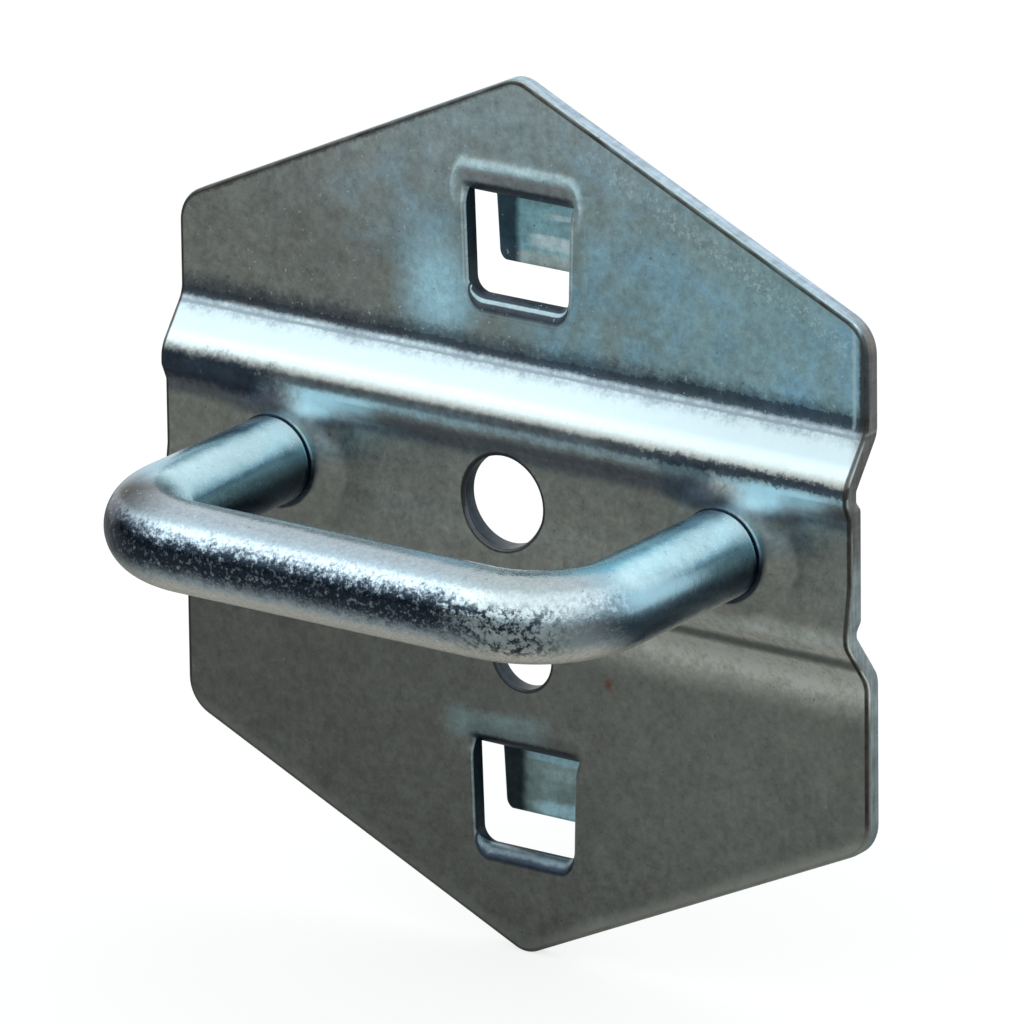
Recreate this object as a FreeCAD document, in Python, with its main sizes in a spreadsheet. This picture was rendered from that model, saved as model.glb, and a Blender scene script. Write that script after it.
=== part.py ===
import FreeCAD, Part
import math
import os
import Sketcher

# A tool hook for a perforated panel: a pressed sheet plate with two lanced tabs that drop
# behind the panel, and a round wire bar riveted into its raised band.
# X runs across the plate, +Y points into the panel, +Z is up.
# The origin is on the panel's face, at the middle of the plate.

os.makedirs("parts", exist_ok=True)
doc = FreeCAD.newDocument("pegboard_hook")

SIZES = [
    # outline of the plate
    ("plate_width", 54.5, "across the two upright sides"),
    ("side_height", 35.2, "length of each upright side, corner to corner"),
    ("point_height", 60.4, "from the upper point to the lower one, before rounding"),
    ("corner_round", 2.6, "radius of the four side corners"),
    ("point_round", 2.0, "radius of the two points"),
    ("thickness", 1.2, "sheet thickness"),
    ("edge_roll", 0.25, "rounding that the blanking die leaves on the front edge"),
    # raised band
    ("band_level", 2.4, "height of the band's middle above the origin"),
    ("band_flat", 10.7, "from ridge to ridge, on the front"),
    ("band_rise", 2.45, "how far the ridges stand out from the flanges"),
    ("band_angle", 37.0, "slope of the band's flanks"),
    ("band_dip", 0.5, "how far the band's middle is pressed back between its ridges"),
    ("dip_angle", 40.0, "slope from a ridge down to the pressed middle"),
    ("upper_land", 1.15, "flat width of the upper ridge"),
    ("lower_land", 0.8, "flat width of the lower ridge"),
    ("bend_inside", 0.4, "inner radius of the bends"),
    ("dip_round", 0.4, "radius where the ridges run into the middle"),
    # windows and tabs
    ("hole_pitch", 38.0, "pitch of the panel's holes, and so of the tabs"),
    ("window_drop", 0.6, "how far the pair of windows lies below the plate's middle"),
    ("window_height", 7.15, "height of a window"),
    ("window_top_width", 8.3, "width of a window at its tab"),
    ("window_flare", 0.2, "how much each side of a window draws in at its foot"),
    ("window_round", 1.1, "radius of the two lower corners"),
    ("window_roll", 0.3, "rounding of a window's front edge"),
    ("tab_space", 2.2, "room between plate and tab for the panel"),
    ("tab_angle", 75.0, "slope of the tab's step"),
    ("tab_short", 1.5, "how much shorter the tab is than its window"),
    ("tab_taper", 0.3, "how much each side of the tab draws in"),
    ("tab_round", 0.7, "radius of the tab's two tip corners"),
    # punched holes
    ("centre_hole", 6.2, "diameter of the hole in the band"),
    ("axis_drop", 0.55, "how far that hole and the legs lie below the band's middle"),
    ("screw_hole", 4.5, "diameter of the hole in the lower flange"),
    ("screw_hole_margin", 3.2, "from the band's lower edge down to that hole's middle"),
    ("hole_roll", 0.2, "rounding of the holes' front edges"),
    # bar and how it is fixed
    ("wire", 6.0, "diameter of the bar's wire"),
    ("leg_pitch", 35.5, "between the axes of the two legs"),
    ("bar_reach", 15.65, "clear depth between the band and the bar"),
    ("bar_bend", 3.0, "inner radius of the bar's two bends"),
    ("end_round", 0.3, "rounding of the bar's shoulders"),
    ("collar_rise", 0.95, "how far the sheet is drawn out round a leg"),
    ("collar_run", 1.3, "width of the collar's flank"),
    ("shoulder_width", 0.8, "how far the leg stands out round its spigot"),
    ("spigot_play", 0.1, "difference between spigot and hole diameters"),
    ("head_overhang", 0.8, "how far the peened head stands out round the spigot"),
    ("head_height", 1.3, "height of the peened head"),
    ("head_round", 0.9, "rounding of the peened head"),
    ("head_room", 0.2, "room round the head in the dimple behind the collar"),
]

sheet = doc.addObject("Spreadsheet::Sheet", "sizes")
for row, (alias, size, note) in enumerate(SIZES, start=1):
    sheet.set(f"A{row}", note)
    sheet.set(f"B{row}", str(size))
    sheet.setAlias(f"B{row}", alias)
doc.recompute()

# Lengths that several features share, as expressions of the sheet.
HALF_WIDTH = "sizes.plate_width / 2"
HALF_POINT = "sizes.point_height / 2"
HALF_SIDE = "sizes.side_height / 2"
FLANK_RUN = "sizes.band_rise / tan(sizes.band_angle)"
DIP_RUN = "sizes.band_dip / tan(sizes.dip_angle)"
MIDDLE_BACK = "(sizes.band_rise - sizes.band_dip)"
MIDDLE_FRONT = f"({MIDDLE_BACK} + sizes.thickness)"
UPPER_RIDGE = "sizes.band_level + sizes.band_flat / 2"
LOWER_RIDGE = "sizes.band_level - sizes.band_flat / 2"
BEND_OUTSIDE = "sizes.bend_inside + sizes.thickness"
AXIS_LEVEL = "sizes.band_level - sizes.axis_drop"
WINDOW_FOOT = "((sizes.hole_pitch - sizes.window_height) / 2 - sizes.window_drop)"
WINDOW_TOP = f"({WINDOW_FOOT} + sizes.window_height)"
TAB_TIP = f"({WINDOW_FOOT} + sizes.tab_short)"
HALF_FOOT = "(sizes.window_top_width / 2 - sizes.window_flare)"
SHOULDER = f"({MIDDLE_FRONT} + sizes.collar_rise)"
SPIGOT = "(sizes.wire - 2 * sizes.shoulder_width)"
HEAD = f"({SPIGOT} + 2 * sizes.head_overhang)"
TOLERANCE = 1e-4


def origin_plane(body, role):
    return next(item for item in body.Origin.OriginFeatures if item.Role == role)


def new_sketch(body, name, role, offsets=()):
    """Sketch on one of the body's own planes, moved by (axis, expression) offsets."""
    sketch = body.newObject("Sketcher::SketchObject", name)
    sketch.AttachmentSupport = [(origin_plane(body, role), "")]
    sketch.MapMode = "FlatFace"
    for axis, expression in offsets:
        sketch.setExpression(f"AttachmentOffset.Base.{axis}", expression)
    return sketch


def place_point(sketch, line, end, across, up):
    """Fixes one end of a line at two expressions, measured from the sketch origin."""
    for kind, expression in (("DistanceX", across), ("DistanceY", up)):
        index = sketch.addConstraint(Sketcher.Constraint(kind, -1, 1, line, end, 1.0))
        sketch.setExpression(f"Constraints[{index}]", expression)


def add_polygon(sketch, corners):
    """Closed outline through corners given as pairs of expressions."""
    first = sketch.GeometryCount
    count = len(corners)
    for step in range(count):
        start = FreeCAD.Vector(step, step % 2, 0)
        end = FreeCAD.Vector((step + 1) % count, (step + 1) % count % 2, 0)
        sketch.addGeometry(Part.LineSegment(start, end), False)
    for step in range(count):
        following = first + (step + 1) % count
        sketch.addConstraint(Sketcher.Constraint("Coincident", first + step, 2, following, 1))
    for step, (across, up) in enumerate(corners):
        place_point(sketch, first + step, 1, across, up)


def rectangle(half_width, half_height):
    """Corners of an upright rectangle about the sketch origin."""
    return [
        (f"-{half_width}", f"-{half_height}"),
        (f"-{half_width}", half_height),
        (half_width, half_height),
        (half_width, f"-{half_height}"),
    ]


def add_circle(sketch, across, up, diameter):
    circle = sketch.addGeometry(Part.Circle(FreeCAD.Vector(1, 1, 0), FreeCAD.Vector(0, 0, 1), 2.0), False)
    place_point(sketch, circle, 3, across, up)
    index = sketch.addConstraint(Sketcher.Constraint("Diameter", circle, 4.0))
    sketch.setExpression(f"Constraints[{index}]", diameter)


def add_feature(body, kind, name, profile=None, **expressions):
    feature = body.newObject(f"PartDesign::{kind}", name)
    if profile is not None:
        feature.Profile = profile
        profile.Visibility = False
    for key, expression in expressions.items():
        feature.setExpression(key, expression)
    return feature


def through_pocket(body, name, profile):
    """Cuts a profile right through the sheet, both ways."""
    pocket = add_feature(body, "Pocket", name, profile)
    pocket.Type = "ThroughAll"
    pocket.SideType = "Symmetric"
    doc.recompute()
    return pocket


def round_edges(body, name, chosen, radius):
    """Fillet on those edges of the body so far for which chosen(shape, edge) is true."""
    doc.recompute()
    base = body.Tip
    shape = base.Shape
    names = [f"Edge{number}" for number, edge in enumerate(shape.Edges, start=1) if chosen(shape, edge)]
    if not names:
        raise RuntimeError(f"no edges found for {name}")
    fillet = body.newObject("PartDesign::Fillet", name)
    fillet.Base = (base, names)
    fillet.setExpression("Radius", radius)
    doc.recompute()
    if not fillet.isValid() or fillet.Shape.isNull():
        raise RuntimeError(f"{name} failed on {len(names)} edges")
    return fillet


def spans(edge, axis):
    """True for a straight edge along the axis, 0 for X, 1 for Y and 2 for Z."""
    if not isinstance(edge.Curve, Part.Line):
        return False
    return abs(abs(edge.Curve.Direction[axis]) - 1.0) < TOLERANCE


def near(number, target):
    return abs(number - target) < TOLERANCE


def folds(angle, convex):
    """Picks the edges along X where two flat faces turn by an angle, outward if convex."""
    def chosen(shape, edge):
        if not spans(edge, 0):
            return False
        faces = shape.ancestorsOfType(edge, Part.Face)
        if not all(isinstance(face.Surface, Part.Plane) for face in faces):
            return False
        small, large = sorted(faces, key=lambda face: face.Area)
        normal = large.normalAt(0, 0)
        turn = math.degrees(normal.getAngle(small.normalAt(0, 0)))
        outward = normal.dot(small.CenterOfMass - edge.CenterOfMass) < 0
        return near(turn, angle) and outward == convex
    return chosen


def ring(depth, least_radius):
    """Picks the circles that lie at one depth and have at least a given radius."""
    def chosen(shape, edge):
        if not isinstance(edge.Curve, Part.Circle) or edge.Curve.Radius < least_radius - TOLERANCE:
            return False
        return near(edge.Curve.Center.y, depth) and near(edge.CenterOfMass.y, depth)
    return chosen


def is_wall(face):
    """True for a face that runs straight through the sheet, along Y."""
    if isinstance(face.Surface, Part.Cylinder):
        return abs(abs(face.Surface.Axis.y) - 1.0) < TOLERANCE
    return isinstance(face.Surface, Part.Plane) and abs(face.normalAt(0, 0).y) < TOLERANCE


def front_rims(inside):
    """Picks the front edges of walls whose middle passes the given test of place."""
    def chosen(shape, edge):
        if not inside(edge.CenterOfMass):
            return False
        faces = shape.ancestorsOfType(edge, Part.Face)
        others = [face for face in faces if not is_wall(face)]
        if len(faces) != 2 or len(others) != 1:
            return False
        middle = edge.valueAt((edge.FirstParameter + edge.LastParameter) / 2)
        return others[0].normalAt(*others[0].Surface.parameter(middle)).y < -0.5
    return chosen


# Plate: the bent section, trimmed to its outline.
plate = doc.addObject("PartDesign::Body", "plate")
plate.Label = "plate"

# Front and back of the flanges and flanks are parallel, so a bend's two corners differ in
# height by the mitre of half its angle. The band's middle is offset straight back between
# its ridges, so there front and back step at the same heights.
MITRE = "sizes.thickness * tan(sizes.band_angle / 2)"
RIDGE_FRONT = "-(sizes.band_rise + sizes.thickness)"
UPPER_STEP = f"{UPPER_RIDGE} - sizes.upper_land"
LOWER_STEP = f"{LOWER_RIDGE} + sizes.lower_land"
section = new_sketch(plate, "section", "YZ_Plane")
add_polygon(section, [
    ("-sizes.thickness", "sizes.point_height / 2"),
    ("-sizes.thickness", f"{UPPER_RIDGE} + {FLANK_RUN}"),
    (RIDGE_FRONT, UPPER_RIDGE),
    (RIDGE_FRONT, UPPER_STEP),
    (f"-{MIDDLE_FRONT}", f"{UPPER_STEP} - {DIP_RUN}"),
    (f"-{MIDDLE_FRONT}", f"{LOWER_STEP} + {DIP_RUN}"),
    (RIDGE_FRONT, LOWER_STEP),
    (RIDGE_FRONT, LOWER_RIDGE),
    ("-sizes.thickness", f"{LOWER_RIDGE} - {FLANK_RUN}"),
    ("-sizes.thickness", "-sizes.point_height / 2"),
    ("0", "-sizes.point_height / 2"),
    ("0", f"{LOWER_RIDGE} - {FLANK_RUN} + {MITRE}"),
    ("-sizes.band_rise", f"{LOWER_RIDGE} + {MITRE}"),
    ("-sizes.band_rise", LOWER_STEP),
    (f"-{MIDDLE_BACK}", f"{LOWER_STEP} + {DIP_RUN}"),
    (f"-{MIDDLE_BACK}", f"{UPPER_STEP} - {DIP_RUN}"),
    ("-sizes.band_rise", UPPER_STEP),
    ("-sizes.band_rise", f"{UPPER_RIDGE} - {MITRE}"),
    ("0", f"{UPPER_RIDGE} + {FLANK_RUN} - {MITRE}"),
    ("0", "sizes.point_height / 2"),
])
strip = add_feature(plate, "Pad", "strip", section, Length="sizes.plate_width")
strip.SideType = "Symmetric"
doc.recompute()

# The flank bends keep the sheet's thickness round the corner.
round_edges(plate, "flank_bends_outside", folds(sheet.band_angle, True), BEND_OUTSIDE)
round_edges(plate, "flank_bends_inside", folds(sheet.band_angle, False), "sizes.bend_inside")
round_edges(plate, "dip_bends_outside", folds(sheet.dip_angle, True), "sizes.dip_round")
round_edges(plate, "dip_bends_inside", folds(sheet.dip_angle, False), "sizes.dip_round")

# The blank's outline: everything outside the six-sided plate is cut away.
MARGIN = "sizes.thickness"
outline = new_sketch(plate, "outline", "XZ_Plane")
add_polygon(outline, rectangle(f"({HALF_WIDTH} + {MARGIN})", f"({HALF_POINT} + {MARGIN})"))
add_polygon(outline, [
    (f"-{HALF_WIDTH}", f"-{HALF_SIDE}"),
    (f"-{HALF_WIDTH}", HALF_SIDE),
    ("0", HALF_POINT),
    (HALF_WIDTH, HALF_SIDE),
    (HALF_WIDTH, f"-{HALF_SIDE}"),
    ("0", f"-{HALF_POINT}"),
])
through_pocket(plate, "blank", outline)


def point_edge(shape, edge):
    return spans(edge, 1) and near(edge.CenterOfMass.x, 0)


def corner_edge(shape, edge):
    return spans(edge, 1) and near(abs(edge.CenterOfMass.z), sheet.side_height / 2)


round_edges(plate, "points", point_edge, "sizes.point_round")
round_edges(plate, "corners", corner_edge, "sizes.corner_round")

# Window and tab: the tab is the sheet lanced out of the window, stepped back behind the panel.
window_outline = new_sketch(plate, "window_outline", "XZ_Plane")
add_polygon(window_outline, [
    (f"-{HALF_FOOT}", WINDOW_FOOT),
    ("-sizes.window_top_width / 2", WINDOW_TOP),
    ("sizes.window_top_width / 2", WINDOW_TOP),
    (HALF_FOOT, WINDOW_FOOT),
])
window = through_pocket(plate, "window", window_outline)

STEP_DROP = "((sizes.tab_space + sizes.thickness) / tan(sizes.tab_angle))"
TAB_MITRE = "sizes.thickness * tan(sizes.tab_angle / 2)"
TAB_ROOT = f"({WINDOW_TOP} + 2 * sizes.thickness)"
tab_section = new_sketch(plate, "tab_section", "YZ_Plane")
add_polygon(tab_section, [
    ("-sizes.thickness", TAB_ROOT),
    ("-sizes.thickness", WINDOW_TOP),
    ("sizes.tab_space", f"{WINDOW_TOP} - {STEP_DROP}"),
    ("sizes.tab_space", TAB_TIP),
    ("sizes.tab_space + sizes.thickness", TAB_TIP),
    ("sizes.tab_space + sizes.thickness", f"{WINDOW_TOP} - {STEP_DROP} + {TAB_MITRE}"),
    ("0", f"{WINDOW_TOP} + {TAB_MITRE}"),
    ("0", TAB_ROOT),
])
tab = add_feature(plate, "Pad", "tab", tab_section, Length="sizes.window_top_width")
tab.SideType = "Symmetric"
doc.recompute()

# The tab's sides draw in towards its tip: two slim wedges are cut behind the plate.
tab_sides = new_sketch(plate, "tab_sides", "XZ_Plane")
for side in ("-", ""):
    add_polygon(tab_sides, [
        (f"{side}sizes.window_top_width / 2", WINDOW_TOP),
        (f"{side}(sizes.window_top_width / 2 - sizes.tab_taper)", TAB_TIP),
        (f"{side}(sizes.window_top_width / 2 + sizes.thickness)", TAB_TIP),
    ])
taper = add_feature(plate, "Pocket", "taper", tab_sides)
taper.setExpression("Length", "sizes.tab_space + 2 * sizes.thickness")
doc.recompute()

second_window = add_feature(plate, "LinearPattern", "second_window", None, Length="sizes.hole_pitch")
second_window.Originals = [window, tab, taper]
second_window.Direction = (origin_plane(plate, "Z_Axis"), [""])
second_window.Reversed = True
second_window.Occurrences = 2
plate.Tip = second_window
doc.recompute()

upper_foot = (sheet.hole_pitch - sheet.window_height) / 2 - sheet.window_drop
FEET = [upper_foot, upper_foot - sheet.hole_pitch]
TIPS = [foot + sheet.tab_short for foot in FEET]


def window_corner(shape, edge):
    place = edge.CenterOfMass
    return spans(edge, 1) and any(near(place.z, foot) for foot in FEET)


def window_rim(shape, edge):
    """The front edge all round a window, over the tab's root too."""
    place = edge.CenterOfMass
    beside = abs(place.x) < sheet.window_top_width / 2 and near(place.y, -sheet.thickness)
    return beside and any(-TOLERANCE < place.z - foot < sheet.window_height + TOLERANCE for foot in FEET)


def tab_corner(shape, edge):
    place = edge.CenterOfMass
    return spans(edge, 1) and place.y > 0 and any(near(place.z, tip) for tip in TIPS)


round_edges(plate, "window_corners", window_corner, "sizes.window_round")
round_edges(plate, "tab_corners", tab_corner, "sizes.tab_round")
round_edges(plate, "window_rims", window_rim, "sizes.window_roll")
round_edges(plate, "tab_bends_outside", folds(sheet.tab_angle, True), BEND_OUTSIDE)
round_edges(plate, "tab_bends_inside", folds(sheet.tab_angle, False), "sizes.bend_inside")

# Round holes: one through the band, one through the lower flange.
holes = new_sketch(plate, "holes", "XZ_Plane")
add_circle(holes, "0", AXIS_LEVEL, "sizes.centre_hole")
add_circle(holes, "0", f"{LOWER_RIDGE} - {FLANK_RUN} - sizes.screw_hole_margin", "sizes.screw_hole")
through_pocket(plate, "punched_holes", holes)

# Collars: the sheet is drawn forward round each leg, with a matching dimple behind.
COLLAR_ANGLE = "atan(sizes.collar_rise / sizes.collar_run)"
COLLAR_MITRE = f"sizes.thickness * tan({COLLAR_ANGLE} / 2)"
INSIDE_SHEET = f"-({MIDDLE_FRONT} + sizes.band_rise) / 2"
DIMPLE = f"({HEAD} / 2 + sizes.head_room)"
LIP = f"({DIMPLE} + {COLLAR_MITRE})"
LEG_AXIS = [("x", "sizes.leg_pitch / 2"), ("z", AXIS_LEVEL)]
collar_section = new_sketch(plate, "collar_section", "XY_Plane", LEG_AXIS)
add_polygon(collar_section, [
    ("0", INSIDE_SHEET),
    ("0", f"-{SHOULDER}"),
    (LIP, f"-{SHOULDER}"),
    (f"{LIP} + sizes.collar_run", f"-{MIDDLE_FRONT}"),
    (f"{LIP} + sizes.collar_run", INSIDE_SHEET),
])
collar = add_feature(plate, "Revolution", "collar", collar_section)
collar.ReferenceAxis = (collar_section, ["V_Axis"])
doc.recompute()

dimple_section = new_sketch(plate, "dimple_section", "XY_Plane", LEG_AXIS)
add_polygon(dimple_section, [
    ("0", f"-{MIDDLE_BACK}"),
    ("0", f"-({MIDDLE_BACK} + sizes.collar_rise)"),
    (DIMPLE, f"-({MIDDLE_BACK} + sizes.collar_rise)"),
    (f"{DIMPLE} + sizes.collar_run", f"-{MIDDLE_BACK}"),
])
dimple = add_feature(plate, "Groove", "dimple", dimple_section)
dimple.ReferenceAxis = (dimple_section, ["V_Axis"])
doc.recompute()

spigot_circle = new_sketch(plate, "spigot_circle", "XZ_Plane")
add_circle(spigot_circle, "sizes.leg_pitch / 2", AXIS_LEVEL, f"{SPIGOT} + sizes.spigot_play")
spigot_hole = through_pocket(plate, "spigot_hole", spigot_circle)

second_collar = add_feature(plate, "Mirrored", "second_collar")
second_collar.Originals = [collar, dimple, spigot_hole]
second_collar.MirrorPlane = (origin_plane(plate, "YZ_Plane"), [""])
plate.Tip = second_collar
doc.recompute()


def on_outline(place):
    """True within a rounding's depth of the plate's six-sided outline."""
    half_point = sheet.point_height / 2
    lean = (half_point - sheet.side_height / 2) / (sheet.plate_width / 2)
    inset = max(abs(place.x) - sheet.plate_width / 2, abs(place.z) + lean * abs(place.x) - half_point)
    return inset > -sheet.corner_round


def in_hole(place):
    """True on the axis of one of the two punched holes, away from the windows."""
    return near(place.x, 0) and abs(place.z - sheet.band_level) < sheet.hole_pitch / 2 - sheet.window_height


round_edges(plate, "hole_rims", front_rims(in_hole), "sizes.hole_roll")
round_edges(plate, "outline_rim", front_rims(on_outline), "sizes.edge_roll")

# Bar: one round wire bent into a wide U, its ends turned down to spigots and peened over.
bar = doc.addObject("PartDesign::Body", "bar")
bar.Label = "bar"
bar.setExpression("Placement.Base.y", f"-{SHOULDER}")
bar.setExpression("Placement.Base.z", AXIS_LEVEL)

BAR_DEPTH = "(sizes.bar_reach - sizes.collar_rise + sizes.wire / 2)"
BEND_AXIS = "(sizes.bar_bend + sizes.wire / 2)"
LEG_LENGTH = f"({BAR_DEPTH} - {BEND_AXIS})"
HALF_PITCH = "sizes.leg_pitch / 2"

front_circle = new_sketch(bar, "front_circle", "YZ_Plane")
add_circle(front_circle, f"-{BAR_DEPTH}", "0", "sizes.wire")
front = add_feature(bar, "Pad", "front", front_circle, Length=f"sizes.leg_pitch - 2 * {BEND_AXIS}")
front.SideType = "Symmetric"
doc.recompute()

bend_place = [("x", f"{HALF_PITCH} - {BEND_AXIS}"), ("z", LEG_LENGTH)]
bend_circle = new_sketch(bar, "bend_circle", "XZ_Plane", bend_place)
add_circle(bend_circle, BEND_AXIS, "0", "sizes.wire")
bend = add_feature(bar, "Revolution", "bend", bend_circle)
bend.ReferenceAxis = (bend_circle, ["V_Axis"])
bend.Angle = 90
bend.Reversed = True
doc.recompute()

leg_circle = new_sketch(bar, "leg_circle", "XZ_Plane")
add_circle(leg_circle, HALF_PITCH, "0", "sizes.wire")
leg = add_feature(bar, "Pad", "leg", leg_circle, Length=LEG_LENGTH)
doc.recompute()

# Each leg ends in a spigot through the sheet and a head peened over behind it.
rivet_section = new_sketch(bar, "rivet_section", "XY_Plane", [("x", HALF_PITCH)])
add_polygon(rivet_section, [
    ("0", "-sizes.wire / 4"),
    (f"{SPIGOT} / 2", "-sizes.wire / 4"),
    (f"{SPIGOT} / 2", "sizes.thickness"),
    (f"{HEAD} / 2", "sizes.thickness"),
    (f"{HEAD} / 2", "sizes.thickness + sizes.head_height"),
    ("0", "sizes.thickness + sizes.head_height"),
])
rivet = add_feature(bar, "Revolution", "rivet", rivet_section)
rivet.ReferenceAxis = (rivet_section, ["V_Axis"])
doc.recompute()
second_leg = add_feature(bar, "Mirrored", "second_leg")
second_leg.Originals = [bend, leg, rivet]
second_leg.MirrorPlane = (origin_plane(bar, "YZ_Plane"), [""])
bar.Tip = second_leg
doc.recompute()
head_face = sheet.thickness + sheet.head_height
round_edges(bar, "shoulders", ring(0.0, sheet.wire / 2), "sizes.end_round")
round_edges(bar, "heads", ring(head_face, 0.0), "sizes.head_round")

ADDS = ("PartDesign::Pad", "PartDesign::Revolution")
CUTS = ("PartDesign::Pocket", "PartDesign::Groove")


def check_document():
    """Every object is sound, pads and revolutions add material, and pockets and grooves take some away."""
    for item in doc.Objects:
        if "Invalid" in item.State or "Error" in item.State:
            raise RuntimeError(f"{item.Name} failed: {item.State}")
        if item.TypeId.startswith("PartDesign::") and getattr(item, "BaseFeature", None):
            gain = item.Shape.Volume - item.BaseFeature.Shape.Volume
            if (item.TypeId in CUTS and gain >= 0) or (item.TypeId in ADDS and gain <= 0):
                raise RuntimeError(f"{item.Name} changes nothing")
    for body in (plate, bar):
        if body.Shape.isNull() or not body.Shape.isValid() or len(body.Shape.Solids) != 1:
            raise RuntimeError(f"{body.Label} is not one valid solid")


check_document()
for body in (plate, bar):
    body.Shape.exportStep(f"parts/{body.Label}.step")
    print(body.Label, round(body.Shape.Volume, 2), len(body.Shape.Faces))
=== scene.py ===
import math

import bmesh
import bpy
import numpy as np
from bpy.props import FloatProperty, FloatVectorProperty, IntProperty, PointerProperty
from mathutils import Matrix, Vector
from mathutils.geometry import delaunay_2d_cdt, tessellate_polygon


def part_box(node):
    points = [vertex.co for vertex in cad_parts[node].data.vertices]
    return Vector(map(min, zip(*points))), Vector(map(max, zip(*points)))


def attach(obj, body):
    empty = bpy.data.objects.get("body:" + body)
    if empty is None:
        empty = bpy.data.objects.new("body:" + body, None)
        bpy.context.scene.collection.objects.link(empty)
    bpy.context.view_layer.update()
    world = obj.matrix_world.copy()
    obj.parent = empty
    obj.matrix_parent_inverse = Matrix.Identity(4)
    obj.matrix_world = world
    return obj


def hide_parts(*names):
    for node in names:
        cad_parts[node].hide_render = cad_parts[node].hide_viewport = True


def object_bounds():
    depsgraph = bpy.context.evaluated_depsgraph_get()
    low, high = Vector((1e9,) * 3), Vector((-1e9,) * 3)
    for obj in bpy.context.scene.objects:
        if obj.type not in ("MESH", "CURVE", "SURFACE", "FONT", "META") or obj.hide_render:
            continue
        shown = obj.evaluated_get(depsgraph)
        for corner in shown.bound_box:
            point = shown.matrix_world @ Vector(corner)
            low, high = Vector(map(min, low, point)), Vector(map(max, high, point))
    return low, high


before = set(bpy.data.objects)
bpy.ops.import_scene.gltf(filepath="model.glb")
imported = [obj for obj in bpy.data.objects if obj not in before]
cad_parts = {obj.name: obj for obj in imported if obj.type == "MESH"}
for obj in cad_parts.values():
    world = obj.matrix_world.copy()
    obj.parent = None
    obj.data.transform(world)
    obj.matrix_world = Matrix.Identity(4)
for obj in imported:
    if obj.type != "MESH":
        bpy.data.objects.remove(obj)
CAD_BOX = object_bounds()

bl_info = {
    "name": "Panel Tool Hook",
    "version": (1, 0, 0),
    "blender": (4, 5, 0),
    "location": "3D View > Sidebar > Panel Hook",
    "description": "Builds a pressed steel tool hook for a perforated panel, with its studio",
    "category": "Add Mesh",
}

MM = 0.001
PLATE_LOW, PLATE_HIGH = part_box("plate")
BAR_LOW, BAR_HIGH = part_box("bar")


# Steps of the plate's mesh, and how far its rings and rows keep from one another.
GRID_STEP, OUTLINE_STEP, WINDOW_STEP = 0.9 * MM, 0.8 * MM, 0.3 * MM
FOLD_STEP, FOLD_ROW_STEP = 0.22 * MM, 0.2 * MM
FOLD_REACHES = 2.1
RING_POINTS, CENTRE_HOLE_POINTS, RINGS_ROUND_LEG = 72, 96, 15
RING_MARGIN, BAND_MARGIN, PAST_ROUNDING = 0.2 * MM, 0.6 * MM, 0.1 * MM
STOP_MARGIN, CLEAR_OF_BORDER = 0.12 * MM, 0.17 * MM
TIP_SHARES = np.array([1.0, 0.8, 0.62, 0.46, 0.33, 0.22, 0.13, 0.06, 0.02, 0.0])

# How wide the sheet bridges over a leg and fades out beside it, and where that starts above the leg.
BRIDGE_MARGIN, BRIDGE_FADE, BRIDGE_START, BRIDGE_RUN = 0.8 * MM, 2.2 * MM, 1.5 * MM, 2.0 * MM
# How faint the lower window's fold lip is, and the width over which the ridges' abrasion and painted highlight
# fade.
LOWER_LIP, SHEEN_AND_WEAR_FADE = 0.15, 0.35 * MM

# The walls that a face may lie on, as its cut, and the share of depth at which a rounding counts as rolled.
BLANK_EDGE, OPENING, DEEP_SHARES = 1.0, 0.5, 1.6

PLATE_SHARP, BAR_SHARP = math.radians(34), math.radians(40)
HEAD_CHAMFER, MERGE_STEP = 0.06 * MM, 0.004 * MM
WHITE = (1.0, 1.0, 1.0)
HORIZON_BAND, OVERHEAD_BAND = (8, 20), (45, 80)
FLOOR_SIDES, SENSOR, CLIP_END = 96, 36.0, 100.0


# ---------------------------------------------------------------------------
# Sizes and colours that a user may change
# ---------------------------------------------------------------------------

def length(name, size, description):
    """A length property; its default is given in millimetres."""
    return FloatProperty(name=name, description=description, default=size * MM, min=0.0, unit="LENGTH",
                         subtype="DISTANCE", precision=5)


def slope(name, degrees, description):
    return FloatProperty(name=name, description=description, default=math.radians(degrees), subtype="ANGLE")


def colour(name, value, description):
    return FloatVectorProperty(name=name, description=description, default=value, size=3, min=0.0, max=1.0,
                               subtype="COLOR")


def share(name, value, description, most=1.0):
    return FloatProperty(name=name, description=description, default=value, min=0.0, max=most, subtype="FACTOR")


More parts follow.
